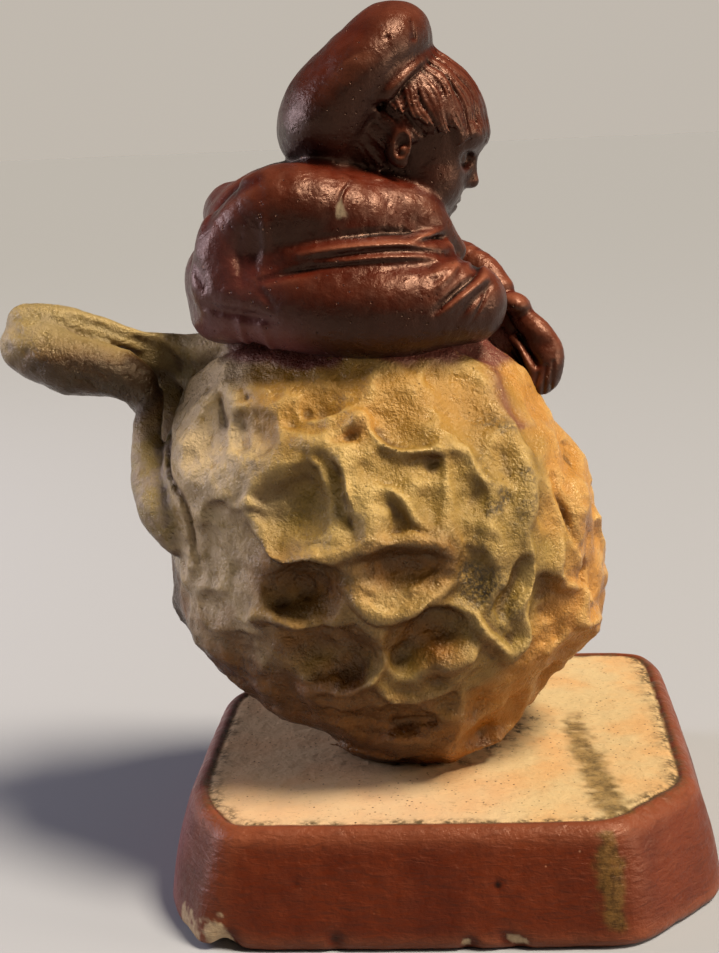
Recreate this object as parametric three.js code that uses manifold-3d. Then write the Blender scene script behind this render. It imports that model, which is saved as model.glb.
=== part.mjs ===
// A terracotta figurine: a child in a soft cap leans on a big lumpy ball with a folded stalk.
// Millimetres, +Z up. The origin is the centre of the plinth's underside. The child faces +X.
import * as THREE from 'three';
import { mergeVertices } from 'three/addons/utils/BufferGeometryUtils.js';
import Module from 'manifold-3d';

const wasm = await Module();
wasm.setup();

// Driving dimensions of the plinth, a block with cut corners that flares a little to its foot.
const PLINTH_HEIGHT = 25;
const PLINTH_HALF_WIDTH = 54.9;
const PLINTH_HALF_DEPTH = 55.8;
const PLINTH_FLARE = 6.6;
const PLINTH_EDGE_RADIUS = 1.4;
const PLINTH_CORNER_RADIUS = 5;
// How far each corner is cut back at the foot, along X and along Y.
const CORNER_CUTS = {
  frontLeft: [14, 22],
  frontRight: [16, 22],
  backRight: [8, 11],
  backLeft: [24.6, 32.4],
};

// Driving dimensions of the figure. Its heights are counted from 23 below the plinth's top.
const FIGURE_BASE = 23;
// The clay seam between the figure and the plinth.
const REST_GAP = 0.3;
const BALL_CENTRE = [-12, -1, 72];
const BALL_MEAN_RADIUS = 49;
const BALL_RADII = [49.5, 47.5, 50.5];
const HEAD_CENTRE = [-2.4, 0, 163.2];
const HEAD_TILT = 20;
const HEAD_SCALE = 0.93;
const BODY_HEART = [-26, 0, 138];
const CAP_HEART = [-14.9, 0, 171.7];
// Plain hollows spread evenly over the far side of the ball.
const HOLLOW_COUNT = 40;
const GOLDEN_TURN = 137.5;

// How finely each form's sphere is split: 20 (n + 1) squared faces.
const BALL_SPLIT = 11;
const BODY_SPLIT = 8;
const HEAD_SPLIT = 9;
const CAP_SPLIT = 4;

// Distances and blends.

const radians = (degrees) => THREE.MathUtils.degToRad(degrees);
const vector = (list) => new THREE.Vector3(...list);

function turned([about_x, about_y, about_z]) {
  const euler = new THREE.Euler(radians(about_x), radians(about_y), radians(about_z), 'ZYX');
  return new THREE.Matrix4().makeRotationFromEuler(euler);
}

function smoothMin(a, b, blend) {
  const near = Math.max(blend - Math.abs(a - b), 0) / blend;
  return Math.min(a, b) - (near * near * blend) / 4;
}

// An ellipsoid of clay. Options: turn in degrees, blend, away to dig it out, only to limit it.
function lump(centre, radii, { turn = [0, 0, 0], spin, blend = 3, away = false, only } = {}) {
  const inverse = (spin ?? turned(turn)).clone().invert();
  const middle = vector(centre);
  const size = vector(radii);
  const distance = (point) => {
    const local = point.clone().sub(middle).applyMatrix4(inverse).divide(size);
    const near = local.length() + 1e-6;
    const slope = local.divide(size).length() + 1e-6;
    const off = (near * (near - 1)) / slope;
    return only ? Math.max(off, only(point)) : off;
  };
  return { distance, blend, away };
}

// A bent roll of clay with a radius at each point.
function roll(points, radii, { blend = 2, away = false } = {}) {
  const ends = points.map(vector);
  const distance = (point) => {
    let best = Infinity;
    for (let i = 0; i + 1 < ends.length; i += 1) {
      const line = new THREE.Line3(ends[i], ends[i + 1]);
      const share = line.closestPointToPointParameter(point, true);
      const nearest = line.at(share, new THREE.Vector3());
      best = Math.min(best, nearest.distanceTo(point) - THREE.MathUtils.lerp(radii[i], radii[i + 1], share));
    }
    return best;
  };
  return { distance, blend, away };
}

// How much a line pushes at a point: full on the line, fading over width.
function alongLine(ends, point, width, depth) {
  let best = Infinity;
  for (let i = 0; i < Math.max(1, ends.length - 1); i += 1) {
    const line = new THREE.Line3(ends[i], ends[Math.min(i + 1, ends.length - 1)]);
    const nearest = line.closestPointToPoint(point, true, new THREE.Vector3());
    best = Math.min(best, nearest.distanceTo(point));
  }
  return depth * Math.exp(-((best / width) ** 2));
}

// A crease pressed in from the front along a line of [x, z] points; less than 0 raises it.
function press(line, width, depth, behind = 0) {
  const ends = line.map(([x, z]) => new THREE.Vector3(x, 0, z));
  const fade = 3;
  return (point) => {
    const share = THREE.MathUtils.clamp((behind - point.y) / fade, 0, 1);
    return share && share * alongLine(ends, new THREE.Vector3(point.x, 0, point.z), width, depth);
  };
}

// A hollow on the ball along a line of places, in degrees round from the front and up.
function dent(places, width, depth) {
  const onBall = ([around, up]) => new THREE.Vector3()
    .setFromSphericalCoords(BALL_MEAN_RADIUS, radians(90 - up), radians(around))
    .applyAxisAngle(new THREE.Vector3(1, 0, 0), Math.PI / 2);
  const ends = places.map(onBall);
  return (point) => {
    const spot = point.clone().sub(vector(BALL_CENTRE)).setLength(BALL_MEAN_RADIUS);
    return alongLine(ends, spot, width, depth);
  };
}

function clayDistance(forms, reliefs, point) {
  let distance = 40;
  for (const form of forms) {
    const off = form.distance(point);
    distance = form.away ? -smoothMin(-distance, off, form.blend) : smoothMin(distance, off, form.blend);
  }
  for (const relief of reliefs) distance += relief(point);
  return distance;
}

// Pull a sphere of faces in from outside until each corner lies on the clay's surface.
function wrap(heart, split, reach, forms, reliefs = []) {
  const geometry = new THREE.IcosahedronGeometry(1, split);
  const places = geometry.getAttribute('position');
  const direction = new THREE.Vector3();
  const middle = vector(heart);
  const at = (radius) => middle.clone().addScaledVector(direction, radius);
  for (let i = 0; i < places.count; i += 1) {
    direction.fromBufferAttribute(places, i).normalize();
    let outside = reach;
    while (outside > 1 && clayDistance(forms, reliefs, at(outside)) > 0) outside -= 0.7;
    let inside = outside;
    outside += 0.7;
    for (let step = 0; step < 8; step += 1) {
      const half = (inside + outside) / 2;
      if (clayDistance(forms, reliefs, at(half)) > 0) outside = half;
      else inside = half;
    }
    const place = at((inside + outside) / 2);
    places.setXYZ(i, place.x, place.y, place.z);
  }
  return geometry;
}

// A capsule bent along points, with a radius at each point.
function bentRoll(points, radii, sides = 10, rings = 8) {
  const curve = new THREE.CatmullRomCurve3(points.map(vector), false, 'centripetal');
  const length = 10;
  const geometry = new THREE.CapsuleGeometry(1, length, 3, sides, rings);
  const places = geometry.getAttribute('position');
  const side = new THREE.Vector3(0, 1, 0);
  for (let i = 0; i < places.count; i += 1) {
    const axial = THREE.MathUtils.clamp(places.getY(i), -length / 2, length / 2);
    const share = axial / length + 0.5;
    const span = share * (radii.length - 1);
    const first = Math.min(Math.floor(span), radii.length - 2);
    const radius = THREE.MathUtils.lerp(radii[first], radii[first + 1], span - first);
    const tangent = curve.getTangent(share);
    const across = new THREE.Vector3().crossVectors(side, tangent).normalize();
    const depth = new THREE.Vector3().crossVectors(tangent, across);
    const place = curve.getPoint(share);
    place.addScaledVector(tangent, (places.getY(i) - axial) * radius);
    place.addScaledVector(across, places.getX(i) * radius);
    place.addScaledVector(depth, -places.getZ(i) * radius);
    places.setXYZ(i, place.x, place.y, place.z);
  }
  return geometry;
}

// Joining and cutting.

function solidOf(geometry) {
  const bare = geometry.clone();
  bare.deleteAttribute('normal');
  bare.deleteAttribute('uv');
  const merged = mergeVertices(bare, 1e-4);
  const vertProperties = new Float32Array(merged.getAttribute('position').array);
  const triVerts = new Uint32Array(merged.getIndex().array);
  return new wasm.Manifold(new wasm.Mesh({ numProp: 3, vertProperties, triVerts }));
}

function geometryOf(solid) {
  const { vertProperties, triVerts } = solid.getMesh();
  const geometry = new THREE.BufferGeometry();
  geometry.setAttribute('position', new THREE.BufferAttribute(vertProperties, 3));
  geometry.setIndex(new THREE.BufferAttribute(triVerts, 1));
  geometry.computeVertexNormals();
  return geometry;
}

function joined(geometries) {
  return geometries.map(solidOf).reduce((whole, piece) => whole.add(piece));
}

// The head, in its own frame: X forward to the face, Y to its left, Z to the crown.

const HEAD_SPIN = turned([0, HEAD_TILT, 0]);
const inHead = (place) => vector(place)
  .multiplyScalar(HEAD_SCALE)
  .applyMatrix4(HEAD_SPIN)
  .add(vector(HEAD_CENTRE))
  .toArray();
const headSize = (list) => list.map((value) => value * HEAD_SCALE);
const headPlace = (point) => point.clone()
  .sub(vector(HEAD_CENTRE))
  .applyMatrix4(HEAD_SPIN.clone().invert());

function headLump(centre, radii, options = {}) {
  const spin = HEAD_SPIN.clone().multiply(turned(options.turn ?? [0, 0, 0]));
  return lump(inHead(centre), headSize(radii), { ...options, spin });
}

function headRoll(points, radii, options) {
  return roll(points.map(inHead), headSize(radii), options);
}

const bothSides = (make) => [-1, 1].flatMap(make);

function faceForms() {
  return [
    headLump([-1.5, 0, 2], [18, 15.2, 17], { blend: 2 }),
    headLump([5.5, 0, -8], [10.5, 12, 13.5], { blend: 4 }),
    headLump([10, 0, -18.5], [4, 4.6, 3.6], { blend: 4 }),
    ...bothSides((side) => [headLump([8, 6.6 * side, -10.5], [6.4, 6, 6.2])]),
    headRoll([[14.6, 0, -1.5], [17.2, 0, -7.4]], [1.3, 2.1], { blend: 1.8 }),
    ...bothSides((side) => [
      headLump([12.6, 5.4 * side, -2.6], [3, 3.2, 2.4], { blend: 1.6, away: true }),
      headLump([11.7, 5.2 * side, -2.8], [2.7, 3, 2.3], { blend: 0.6 }),
      headRoll([[14.6, 2.4 * side, 1.4], [13.6, 6 * side, 1.8], [10.8, 9.2 * side, 0]], [1.2, 1.3, 1]),
    ]),
    headRoll([[13.2, -3.2, -13.6], [14.9, 0, -13.4], [13.2, 3.2, -13.6]], [0.8, 1.7, 0.8], { blend: 1 }),
  ];
}

function hairForms() {
  const behindFace = (point) => {
    const { x, z } = headPlace(point);
    return Math.max(0.8 * x - 0.6 * z - 2.5, -z - 13);
  };
  const aboveEars = (point) => {
    const { x, z } = headPlace(point);
    return 3 - z;
  };
  return [
    headLump([-2.4, 0, 1], [18.2, 16.1, 18.2], { blend: 0.8, only: behindFace }),
    headLump([-2, 0, 1.2], [19.3, 16.9, 16.9], { blend: 1.6, only: aboveEars }),
    headLump([13.2, 0, 3.4], [4.2, 10, 4], { blend: 2 }),
    ...bothSides((side) => [
      headLump([-1.5, 15.6 * side, -4.2], [3.1, 1.5, 4.4], { turn: [0, -8, 22 * side], blend: 1 }),
    ]),
  ];
}

function makeHead() {
  const neck = roll([inHead([-4, 0, -8]), [-9.4, 0, 141.8]], [10, 11], { blend: 3 });
  return wrap(HEAD_CENTRE, HEAD_SPLIT, 40, [...faceForms(), neck, ...hairForms()]);
}

function makeCap() {
  return wrap(CAP_HEART, CAP_SPLIT, 40, [
    lump([-15, 0, 173.2], [21.6, 20.5, 10.6], { turn: [0, -45, 0], blend: 2 }),
    lump([-19.6, 0, 165.9], [10.6, 18.5, 11.3], { blend: 5 }),
    lump([-6.6, 0, 181.4], [8.3, 15, 9], { turn: [0, -25, 0], blend: 3 }),
  ]);
}

// The jacket, its near arm bent along the front, its far arm reaching over the ball.

function makeBody() {
  const upperArm = [[-3.9, -12, 141.7], [-17.1, -16, 144.6], [-29.9, -17, 146.4], [-39.1, -16, 141.1]];
  const collar = [
    [-26.2, -4, 153.7],
    [-17.2, -12, 150.3],
    [-6.6, -14, 147.7],
    [0.5, -12, 142.8],
    [5, -8, 137.1],
  ];
  const cloth = [
    lump([-23.8, 0, 137.4], [27, 23, 20], { turn: [0, 12, 0], blend: 4 }),
    lump([-27.6, 0, 143.4], [20.3, 22, 11.6], { turn: [0, -8, 0], blend: 4 }),
    lump([-42.2, 9, 145.1], [8.4, 12, 7.8], { blend: 2 }),
    roll([[-24, 14, 144], [-10, 19, 137]], [11, 9.5], { blend: 3 }),
    roll(upperArm, [7.5, 10, 11.2, 9.8], { blend: 5 }),
    roll(collar, [3.4, 4.2, 4.4, 4.2, 3.6]),
    roll([[-40.8, -16, 135.2], [-41, -18, 131.5]], [9, 9.5]),
    lump([-48.5, 2, 130.4], [6.4, 19, 9.6], { turn: [0, -10, 0], blend: 2 }),
    lump([-42.8, -6, 124.2], [10, 18, 6]),
  ];
  const folds = [
    press([[-33.2, 155.2], [-40.5, 152.3], [-45.4, 147.9], [-47.5, 141.7]], 1.8, 1.4),
    press([[-49.4, 140], [-47.9, 135.5], [-45.9, 131]], 1.8, 1.4),
    press([[-36, 144], [-37.3, 136.1]], 2.6, 1.2),
  ];
  return wrap(BODY_HEART, BODY_SPLIT, 50, cloth, folds);
}

function armRolls() {
  const forearm = [
    [-41.6, -15, 134.7],
    [-40.3, -19, 129.9],
    [-27.1, -22, 128],
    [-9.9, -24, 126.6],
    [2.8, -21, 126.9],
    [8.3, -18, 126.6],
  ];
  const foldAbove = [
    [-29.5, -25, 137.4],
    [-21.8, -27, 139.1],
    [-13.4, -27, 140.1],
    [-3.1, -23, 140.2],
    [3.1, -18, 138.1],
  ];
  const farArm = [[-20, 16, 143], [-8, 20, 136], [3, 14, 132.5], [10.6, 8, 131.4], [15.5, 4, 126.6]];
  return [
    bentRoll(forearm, [8.6, 9.6, 10.3, 10.6, 9.4, 8.8], 14, 12),
    bentRoll(foldAbove, [1.6, 2.4, 2.8, 2.8, 1.8], 6, 8),
    bentRoll(farArm, [10.5, 9.3, 7.5, 4.8, 3.9], 12, 10),
  ];
}

function handRolls() {
  const sleeveEnd = [[16.5, 2, 125.2], [22.1, 1, 123.4]];
  const clayBehindWrist = [[17.2, 6, 121.3], [18.9, 6, 117.1]];
  const backOfHand = [
    [20.5, 1, 121.6],
    [23.7, -1, 117.2],
    [26, -2, 112.8],
    [25.7, -3, 108.6],
    [23.8, -4, 105.9],
  ];
  const fingers = [[19, 0, 115.9], [21.3, -3, 113.7], [22.3, -4, 109.8], [21.6, -4, 106.9]];
  return [
    bentRoll(sleeveEnd, [2.2, 2.2], 8, 2),
    bentRoll(clayBehindWrist, [4, 4.2], 8, 3),
    bentRoll(backOfHand, [2.8, 3.6, 3.9, 3.4, 2.7], 10, 7),
    bentRoll(fingers, [1.6, 1.8, 2.1, 2.2], 8, 5),
  ];
}

// The lumpy ball and its folded stalk.

function farHollows() {
  const hollows = [];
  for (let i = 0; i < HOLLOW_COUNT; i += 1) {
    const up = THREE.MathUtils.radToDeg(Math.asin(1 - (2 * i + 1) / HOLLOW_COUNT));
    const around = (i * GOLDEN_TURN) % 360;
    const onFarSide = around > 72 && around < 282 && Math.abs(up) < 58;
    if (onFarSide) hollows.push(dent([[around, up]], 8 + 2 * Math.sin(1.7 * i), 2.2 + Math.sin(2.3 * i)));
  }
  return hollows;
}

function ballReliefs() {
  const hollows = [
    dent([[-24, 45], [-9, 48]], 6, 3),
    dent([[-28, 32], [-22, 25], [-15, 19], [-9, 13]], 11, 3.4),
    dent([[5, 45], [13, 41], [19, 39]], 6, 2.6),
    dent([[15, 28], [17, 22], [16, 16]], 5, 2.4),
    dent([[-32, 0], [-12, 0]], 7, 5),
    dent([[-2, 6], [17, 7]], 6, 4.8),
    dent([[-23, -14], [-14, -17], [-2, -17]], 11, 4.6),
    dent([[7, -14], [16, -12]], 8, 3.2),
    dent([[66, -3], [67, -10]], 5, 4),
    dent([[26, 29], [38, 32]], 8, 1.8),
    dent([[28, 5], [35, -3]], 7, 2.5),
    dent([[37, -35], [56, -33]], 8, 2.6),
    dent([[66, 44], [74, 33], [78, 22]], 9, 5),
  ];
  const ridges = [
    dent([[-41, 39], [-20, 36], [-10, 34], [-3, 25], [1, 17], [0, 11]], 4, -2.4),
    dent([[1, 42], [5, 37], [11, 34], [18, 31], [22, 36]], 3.4, -2.2),
    dent([[-33, 11], [-26, 9], [-16, 6], [-7, 8]], 3.4, -3.2),
    dent([[-5, 10], [3, 13], [12, 14], [18, 10]], 3.4, -2.4),
    dent([[-7, -1], [-1, -6], [8, -5], [18, 0]], 3.4, -3.2),
    dent([[-6, 39], [-1, 43]], 3.4, -2.4),
    dent([[-29, -7], [-17, -9]], 3.2, -2),
    dent([[-26, -32], [-10, -29], [-1, -24]], 3.2, -2),
    dent([[-2, -26], [18, -30]], 5, -2.4),
    dent([[23, -8], [29, -16], [37, -23], [42, -17], [41, -2]], 4, -3),
    dent([[54, 4], [53, -4], [65, -16], [80, -18]], 3.6, -1.6),
    dent([[33, -67], [25, -43], [27, -32]], 4, -1.6),
  ];
  return [...hollows, ...ridges, ...farHollows()];
}

function makeBall() {
  const forms = [
    lump([-12, -1, 74], BALL_RADII, { blend: 0.1 }),
    lump([-31, -1, 88], [31.5, 38, 32], { blend: 8 }),
    lump([-43.5, 0, 59.3], [16.2, 30, 18], { blend: 8 }),
    lump([24.9, 0, 56.8], [12.6, 26, 17], { blend: 8 }),
    lump([-2.1, -14, 35.3], [20, 20, 12], { blend: 8 }),
  ];
  return wrap(BALL_CENTRE, BALL_SPLIT, 64, forms, ballReliefs());
}

function stalkRolls() {
  const upperRoll = [
    [-50.8, 4, 113.4],
    [-62.8, 4, 116.4],
    [-70.4, 2, 118.8],
    [-77.7, 1, 121.5],
    [-85.9, 0, 123.5],
    [-91.8, 0, 122.8],
  ];
  const lowerRoll = [
    [-90.9, -3, 118.6],
    [-84.2, -5, 115],
    [-75.2, -5, 113.1],
    [-67.3, -4, 109.4],
    [-63.6, -2, 102],
  ];
  const hangingRoll = [
    [-64.2, -3, 104.5],
    [-65, -4, 96.8],
    [-65, -5, 87.6],
    [-62.1, -6, 79.3],
    [-58.9, -6, 71.8],
  ];
  const web = [[-89.9, 1, 120], [-77.7, 0, 117.9], [-62.7, 2, 112], [-53.2, 3, 109.7]];
  return [
    bentRoll(upperRoll, [5.5, 3.4, 3, 3.3, 4.1, 5.5], 10, 10),
    bentRoll(lowerRoll, [6.9, 7.1, 6.4, 5.8, 4.6]),
    bentRoll(hangingRoll, [3.6, 4.8, 5.8, 6.2, 2.8]),
    bentRoll(web, [3.4, 3.6, 4.4, 6.2], 8, 6),
  ];
}

// A pad of clay squeezed out where the ball sits.
function seatPad() {
  const pad = new THREE.SphereGeometry(1, 14, 6);
  pad.rotateX(Math.PI / 2);
  pad.scale(16, 13, 5);
  pad.translate(-8, -9, FIGURE_BASE + 2.5);
  return pad;
}

function makeFigure() {
  const boy = [makeBody(), ...armRolls(), ...handRolls(), makeHead(), makeCap()];
  const pieces = [makeBall(), seatPad(), ...stalkRolls(), ...boy];
  const below = new THREE.BoxGeometry(300, 300, 100);
  below.translate(0, 0, FIGURE_BASE + REST_GAP - 50);
  const whole = joined(pieces).subtract(solidOf(below));
  const rise = PLINTH_HEIGHT - FIGURE_BASE;
  return geometryOf(whole.translate([0, 0, rise]));
}

// The plinth: an outline with cut, rounded corners, extruded with rounded edges and drawn in to the top.

function plinthShape() {
  const halfWidth = PLINTH_HALF_WIDTH + PLINTH_FLARE;
  const halfDepth = PLINTH_HALF_DEPTH + PLINTH_FLARE;
  const corner = (sideX, sideY, [cutX, cutY]) => {
    const onX = [sideX * (halfWidth - cutX), sideY * halfDepth];
    const onY = [sideX * halfWidth, sideY * (halfDepth - cutY)];
    return sideX * sideY > 0 ? [onY, onX] : [onX, onY];
  };
  const outline = [
    ...corner(1, 1, CORNER_CUTS.backRight),
    ...corner(-1, 1, CORNER_CUTS.backLeft),
    ...corner(-1, -1, CORNER_CUTS.frontLeft),
    ...corner(1, -1, CORNER_CUTS.frontRight),
  ].map((place) => new THREE.Vector2(...place));
  const shape = new THREE.Shape();
  outline.forEach((point, i) => {
    const before = outline.at(i - 1);
    const after = outline[(i + 1) % outline.length];
    const start = before.clone().sub(point).setLength(PLINTH_CORNER_RADIUS).add(point);
    const end = after.clone().sub(point).setLength(PLINTH_CORNER_RADIUS).add(point);
    if (i === 0) shape.moveTo(start.x, start.y);
    else shape.lineTo(start.x, start.y);
    shape.quadraticCurveTo(point.x, point.y, end.x, end.y);
  });
  shape.closePath();
  return shape;
}

function makePlinth() {
  const block = new THREE.ExtrudeGeometry(plinthShape(), {
    depth: PLINTH_HEIGHT - 2 * PLINTH_EDGE_RADIUS,
    bevelThickness: PLINTH_EDGE_RADIUS,
    bevelSize: PLINTH_EDGE_RADIUS,
    bevelOffset: -PLINTH_EDGE_RADIUS,
    bevelSegments: 1,
    curveSegments: 3,
  });
  block.translate(0, 0, PLINTH_EDGE_RADIUS);
  const places = block.getAttribute('position');
  const drawIn = PLINTH_FLARE / (PLINTH_HALF_WIDTH + PLINTH_FLARE);
  for (let i = 0; i < places.count; i += 1) {
    const size = 1 - (drawIn * places.getZ(i)) / PLINTH_HEIGHT;
    places.setXY(i, places.getX(i) * size, places.getY(i) * size);
  }
  return geometryOf(solidOf(block));
}

// Materials and assembly.

function painted(colour, roughness) {
  return new THREE.MeshStandardMaterial({ color: new THREE.Color(colour), roughness, metalness: 0 });
}

function named(name, geometry, material) {
  const mesh = new THREE.Mesh(geometry, material);
  mesh.name = name;
  return mesh;
}

const figurine = new THREE.Group();
figurine.name = 'figurine';
figurine.add(named('plinth', makePlinth(), painted('#7d4a38', 0.5)));
figurine.add(named('child_on_ball', makeFigure(), painted('#a5864c', 0.6)));

export default figurine;
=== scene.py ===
import math

import bpy
import numpy as np
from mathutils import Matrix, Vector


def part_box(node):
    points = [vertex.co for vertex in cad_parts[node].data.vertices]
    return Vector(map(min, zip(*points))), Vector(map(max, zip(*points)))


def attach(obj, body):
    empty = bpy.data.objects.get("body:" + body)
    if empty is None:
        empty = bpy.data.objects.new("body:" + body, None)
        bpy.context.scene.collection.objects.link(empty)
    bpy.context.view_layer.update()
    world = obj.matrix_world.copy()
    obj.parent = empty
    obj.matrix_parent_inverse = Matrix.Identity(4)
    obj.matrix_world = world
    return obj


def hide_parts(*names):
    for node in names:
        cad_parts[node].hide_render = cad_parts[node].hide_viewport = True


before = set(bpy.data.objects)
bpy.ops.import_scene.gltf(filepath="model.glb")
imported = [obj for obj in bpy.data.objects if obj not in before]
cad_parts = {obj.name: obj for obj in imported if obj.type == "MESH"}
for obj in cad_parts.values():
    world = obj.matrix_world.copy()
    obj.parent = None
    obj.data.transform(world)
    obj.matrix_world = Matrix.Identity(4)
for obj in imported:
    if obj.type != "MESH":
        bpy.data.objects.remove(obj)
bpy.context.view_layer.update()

import openvdb
from mathutils import Matrix, Vector

# A terracotta figurine: a child in a soft cap leans on a big lumpy ball with a folded stalk.
# All sculpting is in millimetres in the frame's axes; objects are made in metres.
# The clay is modelled as a distance field in voxels, turned to a mesh, and painted by nodes.

# Heights in the sculpting are counted from this far above the plinth's underside.
BASE = np.array([0.0, 0.0, 2.0])
FLOOR = -BASE[2]
PLINTH_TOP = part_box("plinth")[1][2] * 1000 - BASE[2]

# Voxel sizes in millimetres: fine for the child, coarser for the ball and the plinth.
CHILD_STEP = 0.36
BALL_STEP = 0.62
PLINTH_STEP = 0.7
MOST_TRIANGLES = 190000
METRES = 0.001
PER_METRE = 1000.0

# Steps between two points of a curve, and the share of a crumpled surface that stays a crest.
CURVE_STEPS = 4
CREST_SHARE = 0.3

# The distance held far from the surface, how many widths a pressed line reaches, and how steeply
# a crisp crest falls off.
FAR = 40.0
LINE_REACH = 2.6
CRISP_SLOPE = 0.6
# A pressed line fades out over this depth at its two limits.
LIMIT_FADE = 3.0

# Wear, dirt and painted shade are read this far round each point, as edges and hollows; a sharp edge bends by
# this share of the reach.
WEAR_REACHES = (0.8, 1.8, 3.6)
SHARP_BEND = 0.22

# Undersides are painted darker as shade: nothing where the surface faces up, all where it faces down.
UNDERSIDE_SHADE_RISE = 1.1


# Small mathematics.


def smooth_min(a, b, blend):
    near = np.maximum(blend - np.abs(a - b), 0) / blend
    return np.minimum(a, b) - near * near * blend / 4


def turn_matrix(turn):
    """Rotation by degrees about X, then Y, then Z."""
    a, b, c = np.radians(turn)
    about_x = np.array([[1, 0, 0], [0, np.cos(a), -np.sin(a)], [0, np.sin(a), np.cos(a)]])
    about_y = np.array([[np.cos(b), 0, np.sin(b)], [0, 1, 0], [-np.sin(b), 0, np.cos(b)]])
    about_z = np.array([[np.cos(c), -np.sin(c), 0], [np.sin(c), np.cos(c), 0], [0, 0, 1]])
    return about_z @ about_y @ about_x


def turned(spin, x, y, z):
    """The coordinates along the three columns of spin."""
    return [spin[0, i] * x + spin[1, i] * y + spin[2, i] * z for i in range(3)]


def corner_weights(part):
    """The corners of a cell, with the weight of each at places part of the way across it."""
    for corner in np.ndindex(2, 2, 2):
        yield corner, np.prod([part[:, i] if corner[i] else 1 - part[:, i] for i in range(3)], axis=0)


def noise(points, size, seed):
    """Smooth random values from -1 to 1 at the points, in lumps about size millimetres across."""
    side, shift = 32, 500.0
    table = np.random.default_rng(seed).uniform(-1, 1, (side, side, side)).astype(np.float32)
    place = np.asarray(points) / size + shift
    cell = np.floor(place).astype(int)
    part = place - cell
    total = 0
    for corner, weight in corner_weights(part * part * (3 - 2 * part)):
        total = total + weight * table[tuple((cell[:, i] + corner[i]) % side for i in range(3))]
    return total


def smooth_line(points, *values):
    """More points on a smooth curve through the points, with the values between them."""
    points = np.array(points, float)
    values = [np.array(v if np.ndim(v) else [v] * len(points), float) for v in values]
    if len(points) < 3:
        return (points, *values)
    stack = np.column_stack([points, *values])
    ends = np.vstack([2 * stack[0] - stack[1], stack, 2 * stack[-1] - stack[-2]])
    fine = []
    for i in range(1, len(ends) - 2):
        before, a, b, after = ends[i - 1:i + 3]
        for t in np.arange(CURVE_STEPS) / CURVE_STEPS:
            bend = (b - before) * t + (2 * before - 5 * a + 4 * b - after) * t * t
            fine.append(a + 0.5 * (bend + (3 * a - before - 3 * b + after) * t ** 3))
    fine = np.array(fine + [ends[-2]])
    return (fine[:, :points.shape[1]], *fine[:, points.shape[1]:].T)


def near_stretches(parts, line, *values):
    """For each stretch of a smooth curve: the squares of how far off the parts lie, and the values there."""
    line, *values = smooth_line(line, *values)
    for i in range(max(1, len(line) - 1)):
        j = min(i + 1, len(line) - 1)
        along = line[j] - line[i]
        length = max(along @ along, 1e-9)
        share = np.clip(sum((v - line[i, k]) * along[k] for k, v in enumerate(parts)) / length, 0, 1)
        off = sum((v - line[i, k] - share * along[k]) ** 2 for k, v in enumerate(parts))
        yield off, *(value[i] + (value[j] - value[i]) * share for value in values)


def line_falloff(parts, line, widths, amounts, crisp=False):
    """A ridge along a line of points, bell-shaped or crisp, read at the coordinates in parts."""
    best, value = np.inf, 0
    for off, wide, amount in near_stretches(parts, line, widths, amounts):
        off = off / wide ** 2
        value = np.where(off < best, amount, value)
        best = np.minimum(off, best)
    return value * (np.clip(1 - CRISP_SLOPE * np.sqrt(best), 0, 1) if crisp else np.exp(-best))


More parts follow.
